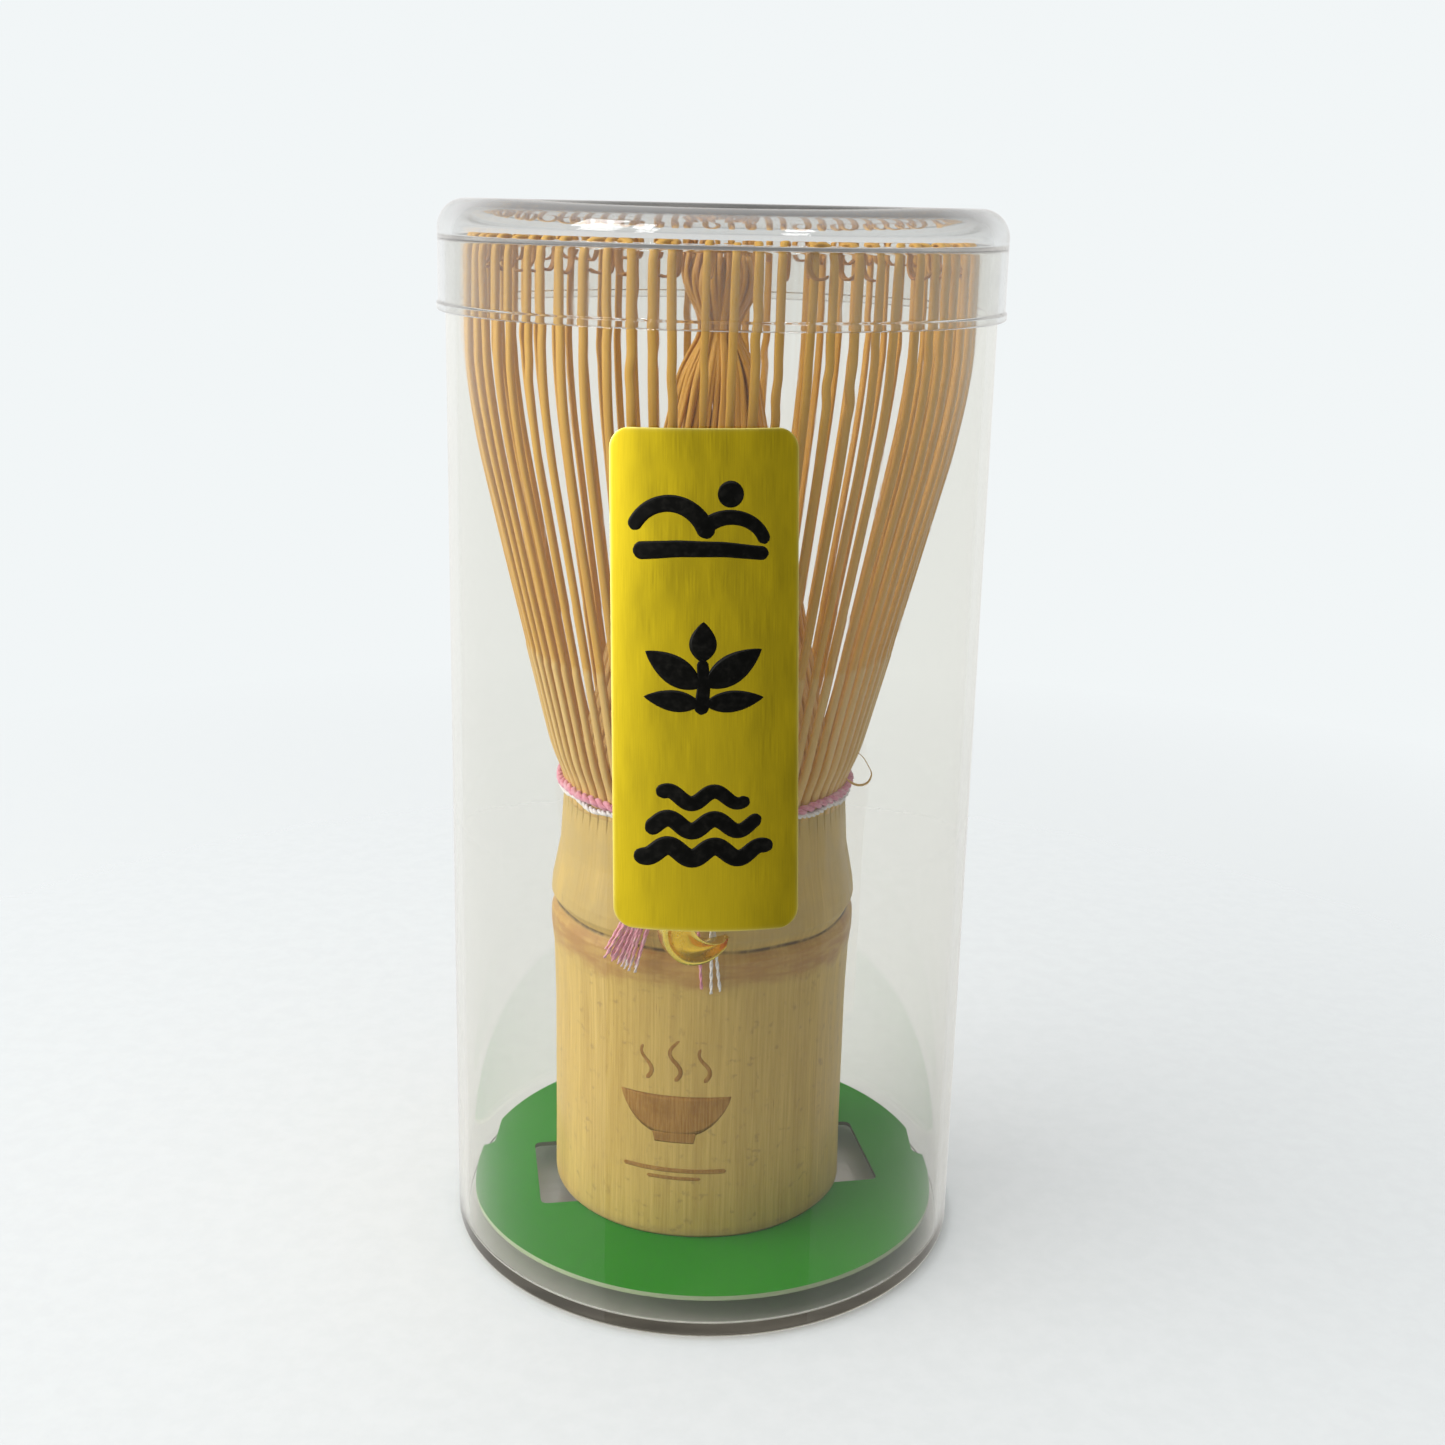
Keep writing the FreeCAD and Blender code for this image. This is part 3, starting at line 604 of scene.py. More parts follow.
def card_outline():
    """Rim of the card, anticlockwise, with a notch on each side that starts at a step and runs out
    backwards. The windows are turned but the notches are level, so they are turned back here."""
    chord = CARD_RADIUS - NOTCH_DEEP
    start = asin(NOTCH_LOW / CARD_RADIUS)
    runout = acos(chord / CARD_RADIUS)
    right = [(CARD_RADIUS * cos(start), NOTCH_LOW), (chord + 0.7, NOTCH_LOW + 0.3),
             (chord + 0.2, NOTCH_LOW + 0.9), (chord, NOTCH_LOW + 1.6)]
    left = [(-x, y) for x, y in right[::-1]]
    back = CARD_RADIUS * circle(np.linspace(runout, pi - runout, 90))
    front = CARD_RADIUS * circle(np.linspace(pi - start, TAU + start, 130)[1:-1])
    return turned(np.concatenate([right, back, left, front]), -CARD_TURN)


def window_outline(side):
    near, far, half, corner = WINDOW_NEAR, WINDOW_FAR, WINDOW_HALF, WINDOW_CORNER
    bend = corner * circle(np.radians(np.linspace(0, 90, 5)))
    top = bend + [far - corner, half - corner]
    low = top[::-1] * [1, -1]
    return side * np.concatenate([top, [(near, half), (near, -half)], low])


def card_sheet():
    """Mesh of the flat card, with its rim and windows."""
    curve = bpy.data.curves.new("card_sheet", "CURVE")
    curve.dimensions = "2D"
    curve.fill_mode = "BOTH"
    curve.extrude = (CARD_THICK / 2 - CARD_BEVEL) * MM
    curve.bevel_depth = CARD_BEVEL * MM
    curve.bevel_resolution = 2
    for outline in (card_outline(), window_outline(1), window_outline(-1)):
        line = curve.splines.new("POLY")
        line.points.add(len(outline) - 1)
        line.use_cyclic_u = True
        for point, (x, y) in zip(line.points, outline):
            point.co = (x * MM, y * MM, (CARD_TOP - CARD_THICK / 2) * MM, 1)
    sheet = scene_object("card_sheet", curve)
    mesh = evaluated_mesh(sheet)
    bpy.data.objects.remove(sheet)
    return mesh


def flap_path():
    """Inner face of a flap, as (x, z) from along the floor out, up and round the fold to the card."""
    top = CARD_TOP - CARD_THICK * 0.5
    foot = FLOOR_THICK + 0.03 + CARD_THICK
    near = WINDOW_NEAR - CARD_THICK - 0.05
    fold, bend = 0.5, 0.2
    path = [(near - 0.6, top - 0.05), (near - bend, top - 0.06)]
    path += [(near - bend + bend * sin(a), top - 0.26 + bend * cos(a)) for a in np.linspace(0.3, 1.57, 5)]
    path += [(near - fold + fold * cos(a), foot + fold - fold * sin(a)) for a in np.linspace(0, 1.57, 7)]
    path.append((3.5, foot))
    return np.array(path)[::-1]


def base_insert():
    """Card disc with two windows whose flaps are folded down and turned in underneath."""
    mesh = card_sheet()
    points = [np.array(vertex.co) / MM for vertex in mesh.vertices]
    faces = [tuple(face.vertices) for face in mesh.polygons]
    slots = []
    for face in mesh.polygons:
        # window edges take the dark painted shade, the outer rim the cut colour
        edge = SHADED if hypot(face.center.x, face.center.y) < 0.9 * CARD_RADIUS * MM else CUT
        slots.append(edge if abs(face.normal.z) < 0.6 else PRINTED)
    path = flap_path()
    normal = tangents(path)[:, ::-1] * [1, -1]
    for side in (1, -1):
        start = len(points)
        for here, out in zip(path, normal):
            for y, depth in ((-1, 0), (1, 0), (1, 1), (-1, 1)):
                x, z = here + out * CARD_THICK * depth
                points.append(np.array([side * x, side * y * (WINDOW_HALF - 0.15), z]))
        new = grid_faces(len(path), 4, wrap_columns=True, start=start)
        # the flaps' sides and ends take the dark painted shade
        slots += [SHADED if index % 4 in (1, 3) else PRINTED for index in range(len(new))]
        last = len(points) - 4
        faces += new
        faces += [(start + 3, start + 2, start + 1, start), (last, last + 1, last + 2, last + 3)]
        slots += [SHADED, SHADED]
    points = np.array(points)
    points[:, :2] = turned(points[:, :2], CARD_TURN)
    piece = add_mesh("card_insert", points, faces, CARD, "insert", ["base_insert"],
                     smooth=False)
    piece.data.materials.append(CARD_CUT)
    piece.data.materials.append(CARD_SHADE)
    piece.data.polygons.foreach_set("material_index", slots)
    return piece


# label

LABEL_WIDE = 19.7
LABEL_CORNER = 2.2
LABEL_THICK = 0.12
LABEL_SHIFT = -0.9
LABEL_LEAN = radians(-1.35)
LABEL_TAPER = (0.97, 0.02)  # width at mid-height as a share of LABEL_WIDE, and the loss to the top
LABEL_HALF_HIGH = (LABEL_HIGH[2] - LABEL_LOW[2]) / 2 - 0.22
LABEL_MIDDLE = (LABEL_HIGH[2] + LABEL_LOW[2]) / 2


def on_label(flat, rise):
    """Places flat label coordinates on the front of the tube, rise above its skin."""
    flat = np.asarray(flat, float)
    up = flat[..., 1]
    across = flat[..., 0] * (LABEL_TAPER[0] - LABEL_TAPER[1] * up / LABEL_HALF_HIGH)
    x = LABEL_SHIFT + across * cos(LABEL_LEAN) + up * sin(LABEL_LEAN)
    z = LABEL_MIDDLE + up * cos(LABEL_LEAN) - across * sin(LABEL_LEAN)
    x = x * (TUBE_RADIUS + rise) / TUBE_RADIUS
    return coords(x, -np.sqrt((TUBE_RADIUS + rise) ** 2 - x ** 2), z)


def foil_label():
    across = 41
    turn = np.linspace(0, pi / 2, 13)
    end_rows = LABEL_HALF_HIGH - LABEL_CORNER + LABEL_CORNER * np.sin(turn)
    end_half = LABEL_WIDE / 2 - LABEL_CORNER + LABEL_CORNER * np.cos(turn)
    straight = LABEL_HALF_HIGH - LABEL_CORNER
    inner_rows = np.linspace(-straight, straight, 50)[1:-1]
    rows = np.concatenate([-end_rows[::-1], inner_rows, end_rows])
    widths = np.concatenate([end_half[::-1], np.full(len(inner_rows), LABEL_WIDE / 2), end_half])[:, None]
    share = np.sin(np.linspace(-1, 1, across) * pi / 2)
    flat = coords(widths * share, np.repeat(rows[:, None], across, axis=1))
    border = np.minimum(widths - np.abs(flat[..., 0]), LABEL_HALF_HIGH - np.abs(flat[..., 1]))
    count = len(rows)
    outline = [(0, k) for k in range(across)]
    outline += [(i, across - 1) for i in range(1, count)]
    outline += [(count - 1, k) for k in range(across - 2, -1, -1)]
    outline += [(i, 0) for i in range(count - 2, 0, -1)]
    front = on_label(flat, LABEL_THICK - 0.035 * np.exp(-border / 0.06)).reshape(-1, 3)
    back = on_label(flat, 0.0).reshape(-1, 3)
    size = len(front)
    faces = [tuple(reversed(face)) for face in grid_faces(count, across)]
    faces += grid_faces(count, across, start=size)
    for here, after in zip(outline, outline[1:] + outline[:1]):
        a, b = here[0] * across + here[1], after[0] * across + after[1]
        faces.append((a, a + size, b + size, b))
    grain = np.concatenate([flat.reshape(-1, 2), np.zeros((size, 1))], axis=1)
    # weight of the painted rim highlight: rising to the front's rim, full on the back
    edge = np.concatenate([np.exp(-border.reshape(-1) / 0.10), np.ones(size)])
    values = {"grain": np.concatenate([grain, grain]), "edge": edge}
    return add_mesh("foil_label_sheet", np.concatenate([front, back]), faces, FOIL, "case",
                    ["foil_label"], values=values)


# marks: flat strokes and shapes laid on a curved face, each as its two borders


def stroke(line, start, finish=None, swell=1.0):
    """Brush stroke of changing width with round ends."""
    finish = start if finish is None else finish
    line = smooth_line(line, 0.22, 6)
    reach = arc_length(line)
    share = reach / reach[-1]
    half = (start + (finish - start) * share) / 2 * (1 + (swell - 1) * np.sin(share * pi))
    from_start = np.clip(reach / half[0], 0.02, 1)
    from_end = np.clip((reach[-1] - reach) / half[-1], 0.02, 1)
    cap = np.sqrt(1 - (1 - from_start) ** 2) * np.sqrt(1 - (1 - from_end) ** 2)
    side = tangents(line)[:, ::-1] * [-1, 1] * (half * cap)[:, None]
    return line + side, line - side


def arc_line(x, y, radius, first, last, squash=1.0, steps=24):
    return circle(np.radians(np.linspace(first, last, steps))) * [radius, radius * squash] + [x, y]


def leaf(x, y, length, wide, angle):
    """Pointed leaf shape from its stem end."""
    along = np.linspace(0, 1, 28)
    half = np.maximum(wide / 2 * np.sin(pi * along ** 0.85) ** 0.8, 0.02)
    ahead = circle(radians(angle))
    side = ahead[::-1] * [-1, 1]
    spine = np.array([x, y]) + length * along[:, None] * ahead
    return spine + side * half[:, None], spine - side * half[:, None]


def mark_mesh(name, shapes, place, thick, material, body, stations=9):
    """Thin domed slabs for the flat shapes; place(flat, rise) puts them on the curved face."""
    parts, faces, start = [], [], 0
    share = np.linspace(0, 1, stations)
    dome = np.sqrt(np.clip(1 - (2 * share - 1) ** 8, 0, 1)) * thick
    for left, right in shapes:
        flat = left[:, None, :] + (right - left)[:, None, :] * share[None, :, None]
        rise = np.repeat(dome[None, :], len(left), axis=0)
        ring = np.concatenate([place(flat, rise), place(flat[:, ::-1][:, 1:-1], 0.0)], axis=1)
        sides = ring.shape[1]
        parts.append(ring.reshape(-1, 3))
        faces += strip_faces(len(left), start, sides)
        start += len(left) * sides
    return add_mesh(name, np.concatenate(parts), faces, material, body)


def hills(y):
    left = arc_line(-3.4, y - 2.6, 4.2, 158, 12, 1.05)
    right = arc_line(3.0, y - 2.6, 3.6, 150, 6, 0.85)
    sun = (arc_line(3.0, y + 2.75, 1.35, 180, 0, 1.0, 30), arc_line(3.0, y + 2.75, 1.35, 180, 0, -1.0, 30))
    ground = [(-7.2, y - 3.1), (-2.4, y - 2.75), (2.4, y - 2.8), (6.9, y - 3.3)]
    return [stroke(left, 1.5, 2.0), stroke(right, 1.7, 1.3), sun, stroke(ground, 1.9, 1.4)]


def sprig(y):
    stem = [(-0.2, y - 4.6), (0.15, y - 1.6), (0.0, y + 1.2)]
    leaves = ((0.0, 0.9, 4.2, 2.9, 88), (0.3, -1.6, 7.0, 3.1, 33), (-0.2, -1.7, 6.8, 3.1, 148),
              (0.2, -3.5, 6.2, 2.3, 6), (-0.2, -3.5, 6.0, 2.3, 174))
    return [stroke(stem, 1.6, 1.2)] + [leaf(x, y + up, *rest) for x, up, *rest in leaves]


def waves(y):
    shapes = []
    for level, reach, wide in ((3.0, 4.8, 1.6), (0.0, 6.1, 1.8), (-3.0, 7.2, 2.0)):
        x = np.linspace(-reach, reach, 40)
        shapes.append(stroke(coords(x, y + level + 0.75 * np.sin(x * 1.28)), wide, wide * 0.8, 1.15))
    return shapes


def label_ink():
    def place(flat, rise):
        return on_label(flat + np.array([-0.2, 0.0]), LABEL_THICK + rise)

    shapes = hills(17.2) + sprig(1.9) + waves(-14.6)
    return mark_mesh("label_ink", shapes, place, 0.035, INK, "case")


MARK_TURN = radians(-8.5)
MARK_Z = 24.2
HANDLE_RADIUS = 18.0


def on_handle(flat, rise):
    angle = FRONT + MARK_TURN + flat[..., 0] / HANDLE_RADIUS
    z = MARK_Z + flat[..., 1]
    radius = handle_radius(HANDLE_RADIUS, angle, z) + 0.02 + rise
    return coords(WHISK_AXIS[0] + radius * np.cos(angle), WHISK_AXIS[1] + radius * np.sin(angle), z)


def engraved_mark():
    """Steaming tea bowl over two ground lines, burnt into the handle."""
    across = np.linspace(-1, 1, 44)
    level = 0 * across
    rim = coords(across * 6.6, level - 1.3)
    bottom = coords(across * 6.6, -1.45 - 5.0 * (1 - np.abs(across) ** 2.6) ** 0.8)
    shapes = [(rim, bottom), (coords(across * 2.6, level - 6.0), coords(across * 2.3, level - 7.3))]
    for x, low, high in ((-3.4, 0.6, 4.8), (0.0, 0.6, 6.9), (3.4, 0.6, 4.8)):
        y = np.linspace(low, high, 24)
        shapes.append(stroke(coords(x + 0.75 * np.sin((y - low) * 1.35), y), 0.55, 0.35))
    for half, y, wide in ((6.2, -10.9, 0.55), (3.2, -11.9, 0.45)):
        shapes.append(stroke([(-half, y), (half, y)], wide))
    return mark_mesh("burnt_bowl_mark", shapes, on_handle, 0.012, BURNT, "whisk")


# bamboo

NODE_Z = 41.1  # groove of the culm's node
BORE = 14.4


def handle_profile():
    top = SPLIT_Z + 2.9
    foot = HANDLE_FOOT
    return [(0, 40.1, 0), (BORE, 40.1, 1.2), (BORE, foot, 0.25), (18.0, foot, 0.4), (17.98, 12.0, 0),
            (18.02, 20.0, 0), (18.0, 28.0, 0), (18.05, 31.0, 3), (18.20, 35.6, 0.9), (18.5, 38.3, 0.8),
            (18.5, 39.9, 0.6), (17.85, NODE_Z, 0.2), (18.52, 42.4, 0.6), (18.38, 43.8, 2),
            (17.42, 48.6, 3), (17.0, 54.9, 0.5), (17.0, top, 0.2), (BORE, top, 0.2), (BORE, 42.5, 1.2),
            (0, 42.5, 0)]


def densify(profile, spacing):
    points = [profile[0]]
    for here, after in zip(profile[:-1], profile[1:]):
        count = max(1, int(np.linalg.norm(after - here) / spacing))
        points += [here + (after - here) * step / count for step in range(1, count + 1)]
    return np.array(points)


def handle_waves():
    rng = np.random.default_rng(11)
    return [(rng.uniform(0.01, 0.03), rng.integers(2, 9), rng.uniform(0, TAU), rng.uniform(0.02, 0.2))
            for _ in range(9)]


HANDLE_WAVES = handle_waves()


def handle_radius(radius, angle, height):
    """Radius of the culm's skin, which is not quite round."""
    return radius + sum(size * np.sin(order * angle + phase + speed * height)
                        for size, order, phase, speed in HANDLE_WAVES)


def groove_drift(angle, height):
    """How far the groove at the node wanders up or down on its way round."""
    wander = 0.24 * np.sin(2 * angle + 0.6) + 0.12 * np.sin(5 * angle + 1.9) + 0.07 * np.sin(11 * angle)
    return wander * np.exp(-((height - NODE_Z) / 1.1) ** 2)


def whisk_handle():
    rng = np.random.default_rng(12)
    slit_low = SPLIT_Z + rng.uniform(-0.25, 0.35, TINE_COUNT)

    def shape(radius, angle, height):
        outside = radius > 16.0
        radius = np.where(outside, handle_radius(radius, angle, height), radius)
        height = height + outside * groove_drift(angle, height)
        turn = (angle - FRONT) / TAU * TINE_COUNT
        slit = np.abs(turn - np.round(turn)) * TAU / TINE_COUNT * 17.0
        low = slit_low[np.round(turn).astype(int) % TINE_COUNT]
        open_share = np.clip((height - low) / 1.6, 0, 1)
        depth = 1.1 * open_share * (slit < 0.03 + 0.07 * open_share) * outside
        return radius - depth, height

    profile = densify(rounded_profile(handle_profile(), 4), 0.8)
    points, faces, angle = lathe_mesh(profile, TINE_COUNT * 14, shape)
    points[:, :2] += WHISK_AXIS[:2]
    level = points[:, 2] - groove_drift(angle, points[:, 2])
    grain = coords(np.cos(angle) * HANDLE_RADIUS, np.sin(angle) * HANDLE_RADIUS, level)
    keep, faces = merge_poles(np.concatenate([points, grain], axis=1), faces)
    return add_mesh("bamboo_handle", keep[:, :3], faces, BAMBOO_SKIN, "whisk",
                    ["whisk_handle"], values={"grain": keep[:, 3:]})


HEAD_REACH = 29.0
OUTER_PATH = [(17.0, 54.6), (17.05, 57.2), (17.5, 58.3), (18.5, 60.0), (20.0, 66.0), (23.7, 81.0),
              (27.4, 96.4), (28.5, 102.5), (HEAD_REACH, 107.0), (HEAD_REACH, 114.0)]
INNER_PATH = [(15.3, 54.6), (15.3, 57.4), (15.0, 60.0), (12.1, 73.0), (9.2, 86.0), (6.0, 98.0),
              (4.6, 104.5), (2.9, 107.8), (1.8, 109.3), (2.2, 111.2), (3.9, 114.4), (4.4, 117.0),
              (3.4, 119.6)]
CURL_Z = 118.1
CURL_LENGTH = 11.0
HEAD_LEAN = tan(radians(0.6))  # the tines lean a little to the right above the thread


def ease(values, low, high):
    """Share of the way from low to high, held between 0 and 1."""
    return np.clip((values - low) / (high - low), 0, 1)


def curl_line(wide, high, turn, shrink):
    """Loop at the tip of a tine, as (radius, height), curling in from the outside."""
    angles = np.linspace(0, radians(turn), 34)
    size = 1 - shrink * (angles / angles[-1]) ** 1.5
    return coords(HEAD_REACH - wide + wide * size * np.cos(angles), CURL_Z + high * size * np.sin(angles))


def tine_mesh(lines, name, material, node, slot):
    """Joins the tines and carries their fibre coordinates, height, tint, tip and inner-face values."""
    parts = []
    values = {"grain": [], "height": [], "tint": [], "tip": [], "inside": []}
    for index, (line, outward, width, thick, tip, tint) in enumerate(lines):
        ring, across, depth = strip(line, outward, width, thick, 0.14)
        parts.append(ring.reshape(-1, 3))
        along = np.repeat(arc_length(line)[:, None], 8, axis=1)
        grain = coords(across + index * 3.7, depth + index * 1.3, along + index * 17.0)
        values["grain"].append(grain.reshape(-1, 3))
        values["height"].append(np.repeat(line[:, 2], 8))
        values["tip"].append(np.repeat(tip, 8))
        values["tint"].append(np.full(len(line) * 8, tint))
        values["inside"].append((depth > thick[:, None] * 0.3).astype(float).reshape(-1))
    points, faces = joined(parts, 8)
    values = {key: np.concatenate(data) for key, data in values.items()}
    points[:, :2] += WHISK_AXIS[:2]
    points[:, 0] += HEAD_LEAN * np.maximum(points[:, 2] - THREAD_Z, 0)
    return add_mesh(name, points, faces, material, "whisk", [node], values=values)


def outer_tine(rng, index):
    base = FRONT + (index + 0.5) * TAU / TINE_COUNT
    drift = rng.normal(0, 0.012)
    lean = rng.normal(0, 0.25)
    curl = curl_line(1.55 + rng.normal(0, 0.12), 2.25 + rng.normal(0, 0.08), rng.uniform(285, 335),
                     rng.uniform(0.05, 0.22))
    path = smooth_line(np.concatenate([smooth_line(OUTER_PATH, 0.9, 4), curl]), 0.55, 2)
    reach = arc_length(path)
    height = path[:, 1]
    share = ease(height, 58, 118)
    kink = rng.uniform(0.0, 0.006) * np.exp(-((height - rng.uniform(104, 112)) / 2.5) ** 2)
    kink *= np.sin((height - 106) * 1.1 + rng.uniform(0, TAU))
    radius = path[:, 0] + share ** 2 * lean * ease(height, 117, 97)
    radius += 0.04 * np.sin(reach * 0.12 + rng.uniform(0, TAU)) * share
    in_curl = ease(reach, reach[-1] - CURL_LENGTH, reach[-1])
    twist = rng.normal(0, 0.38)
    inward = np.maximum(HEAD_REACH - path[:, 0], 0) * ease(height, 112, 116)
    radius += inward * (1 - cos(twist))
    angle = base + drift * share ** 1.5 + kink + inward * sin(twist) / HEAD_REACH
    line = coords(radius * np.cos(angle), radius * np.sin(angle), height)
    outward = turned_outward(path, base)
    split = ease(height, 55, 59.5)
    pitch = TAU * path[:, 0] / TINE_COUNT
    width = (pitch - 0.16) * (1 - split) + (0.95 + rng.normal(0, 0.04)) * split
    width *= 1 - 0.06 * share - 0.30 * in_curl
    thick = 0.9 - 0.3 * ease(height, 57, 65) - 0.38 * in_curl
    step = 0.10 * np.clip((SKIN_END_Z + rng.normal(0, 0.25) - height) / 0.3, 0, 1)
    line += outward * (step - 0.10)[:, None]
    tip = np.clip(in_curl * 1.6 - 0.55, 0, 1) * rng.uniform(0.7, 1.0)
    return line, outward, width, thick, tip, rng.uniform(0, 1)


def turned_outward(path, base):
    """Direction that the outer face looks: square to the path, in the tine's own upright plane."""
    step = tangents(path)
    out = np.array([cos(base), sin(base), 0.0])
    return step[:, 1:2] * out - step[:, 0:1] * UP


def inner_tine(rng, index):
    base = FRONT + index * TAU / TINE_COUNT
    path = smooth_line(INNER_PATH, 0.6, 3)
    height = path[:, 1]
    share = ease(height, 60, 109)
    radius = path[:, 0] * (1 - 0.10 * (index % 2) * share) + rng.normal(0, 0.22) * share ** 2
    waver = 0.08 * np.sin(arc_length(path) * 0.3 + rng.uniform(0, TAU)) * share
    radius = np.maximum(radius + waver, 0.5)
    angle = base + 0.35 * share ** 2 + rng.normal(0, 0.12) * share ** 2
    head = ease(height, 108, 120)
    sink = rng.uniform(-2.6, 0.0) * head
    line = coords(radius * np.cos(angle), radius * np.sin(angle), height + sink)
    bend = angle[-1] + rng.normal(0, 0.9)
    spread = rng.uniform(-0.3, 0.9) * head ** 2
    line[:, :2] += spread[:, None] * circle(bend)
    line = smooth_line(line, 0.7, 2)
    outward = coords(line[:, 0], line[:, 1], 0.3 * np.hypot(line[:, 0], line[:, 1]))
    outward /= length_of(outward)
    rise = ease(line[:, 2], 58, 118)
    tip = ease(line[:, 2], 112, 118) * rng.uniform(0.2, 0.8)
    return line, outward, 1.0 - 0.38 * rise ** 0.6, 0.8 - 0.42 * rise, tip, rng.uniform(0, 1)


def tines(make, seed, *names):
    rng = np.random.default_rng(seed)
    return tine_mesh([make(rng, index) for index in range(TINE_COUNT)], *names)


# threads


def twisted(line, plies, ply_radius, spread, pitch, sides=8):
    """Plies twisted round a line."""
    ahead = tangents(line)
    reach = arc_length(line)
    normal = np.cross(ahead, np.array([0.02, 0.03, 1.0]))
    flat = np.linalg.norm(normal, axis=1) < 0.2
    normal[flat] = np.cross(ahead[flat], np.array([1.0, 0.2, 0.0]))
    normal /= length_of(normal)
    other = np.cross(ahead, normal)
    parts = []
    for ply in range(plies):
        turn = reach / pitch * TAU + ply * TAU / plies
        ply_line = line + spread * (np.cos(turn)[:, None] * normal + np.sin(turn)[:, None] * other)
        parts.append(cord(ply_line, ply_radius, sides))
    return parts


def ring_line(radius, z, ride, seed):
    """Ring round the neck that dips a little between the tines."""
    phase = np.random.default_rng(seed).uniform(0, TAU, 4)
    angle = np.linspace(0, TAU, 900)
    wobble = sum(0.05 * np.sin(order * angle + shift) for order, shift in zip((3, 7, 12, 19), phase))
    wobble -= wobble[0]
    flat = (radius + 0.06 * np.cos(TINE_COUNT * angle))[:, None] * circle(angle + pi / 2) + WHISK_AXIS[:2]
    return coords(flat[:, 0], flat[:, 1], z + ride * wobble)


def cord_mesh(name, parts, material, body, node, sides=8):
    points, faces = joined(parts, sides)
    return add_mesh(name, points, faces, material, body, [node])


def thread_rings():
    low, high = node_box("thread_pink")
    radius = (high[0] - low[0]) / 2 - 0.42
    pink = twisted(ring_line(radius + 0.02, (low[2] + high[2]) / 2, 1.0, 5), 2, 0.30, 0.25, 2.6, 10)
    cord_mesh("pink_ring_thread", pink, PINK, "whisk", "thread_pink", 10)
    white_z = centre_of("thread_white")[2] + 0.05
    white = twisted(ring_line(radius - 0.04, white_z, 2.4, 8), 2, 0.20, 0.17, 1.5)
    cord_mesh("white_ring_thread", white, WHITE, "whisk", "thread_white")
    lacing = twisted(ring_line(15.75, centre_of("inner_lacing")[2], 1.0, 9), 2, 0.2, 0.17, 1.6)
    cord_mesh("inner_lacing_thread", lacing, PINK, "whisk", "inner_lacing")


def thread_knot():
    """Trefoil knot."""
    turn = np.linspace(0, TAU, 150)
    line = centre_of("thread_knot") + 0.34 * coords(0.72 * (np.sin(turn) + 2 * np.sin(2 * turn)),
                                                    -0.9 * np.sin(3 * turn),
                                                    0.72 * (np.cos(turn) - 2 * np.cos(2 * turn)))
    cord_mesh("thread_knot_loops", [cord(line, 0.3, 8)], PINK, "whisk", "thread_knot")


def fringe(start, ends, radius, seed, spread):
    """Cut thread ends that fan out from one place; each is two plies twisted tightly together."""
    rng = np.random.default_rng(seed)
    share = np.linspace(0, 1, 60)
    opened = 1 + 0.2 * ease(share, 0.93, 1.0)
    parts = []
    for end in ends:
        begin = np.array(start) + rng.normal(0, spread, 3) * np.array([1, 0.2, 0.3])
        line = begin + (np.array(end) - begin) * share[:, None]
        line[:, 0] += rng.normal(0, 0.14) * np.sin(share * pi)
        line[:, 1] += rng.normal(0, 0.05) * np.sin(share * pi)
        ahead = tangents(line)
        side = np.cross(ahead, np.array([0.0, 1.0, 0.0]))
        front = np.cross(ahead, side)
        for ply in (0, 1):
            turn = arc_length(line) / 2.4 * TAU + ply * pi
            across = np.cos(turn)[:, None] * side + np.sin(turn)[:, None] * front
            ply_line = line + 0.62 * radius * opened[:, None] * across
            parts.append(cord(ply_line, radius * (1 - 0.25 * share ** 8), 6))
    return parts


def loose_threads():
    low, high = node_box("tassel_pink")
    knot = centre_of("thread_knot")
    front = knot[1]
    ends = []
    for index in range(19):
        share = index / 18
        x = low[0] + 0.35 + 3.65 * share + 0.3 * sin(index * 2.4)
        z = low[2] + 0.4 + 1.7 * (1 - share) ** 1.3 + 0.55 * (index % 3) * (1 - 0.3 * share)
        ends.append((x, front + 0.25 * (index % 3 - 1), z))
    tassel = fringe((knot[0] - 0.5, front, knot[2] - 0.6), ends, 0.115, 3, 0.35)
    cord_mesh("pink_tassel", tassel, PINK_FRAYED, "tassel", "tassel_pink", 6)
    low, high = node_box("tail_white")
    x = (low[0] + high[0]) / 2
    ends = [(x + 0.55, front, low[2] + 0.15), (x + 1.55, front + 0.1, low[2] + 0.45)]
    white = fringe((x + 0.1, front, high[2] - 0.3), ends, 0.14, 4, 0.12)
    cord_mesh("white_tail", white, WHITE, "tail", "tail_white", 6)
    low, high = node_box("tail_pink")
    x = (low[0] + high[0]) / 2
    pink = fringe((x - 0.2, front, high[2] - 0.3), [(x + 1.0, front, low[2] + 0.1)], 0.13, 6, 0.1)
    cord_mesh("pink_tail", pink, PINK, "tail", "tail_pink", 6)


# charm

CHARM_RADIUS = 4.3
BITE_RADIUS = 3.45
BITE_REACH = 2.8
BITE_TURN = radians(28)
CHARM_THICK = 2.1
CHARM_YAW = radians(27)
EYE_TURN = radians(128)
EYE_INSET = 0.85
EYE_REACH = CHARM_RADIUS - EYE_INSET
EYE_RADIUS = 0.45
RING_RADIUS = 1.35
RING_THREAD = 0.2
CHARM_SIDE = np.array([cos(CHARM_YAW), sin(CHARM_YAW), 0.0])
CHARM_BACK = np.array([-sin(CHARM_YAW), cos(CHARM_YAW), 0.0])


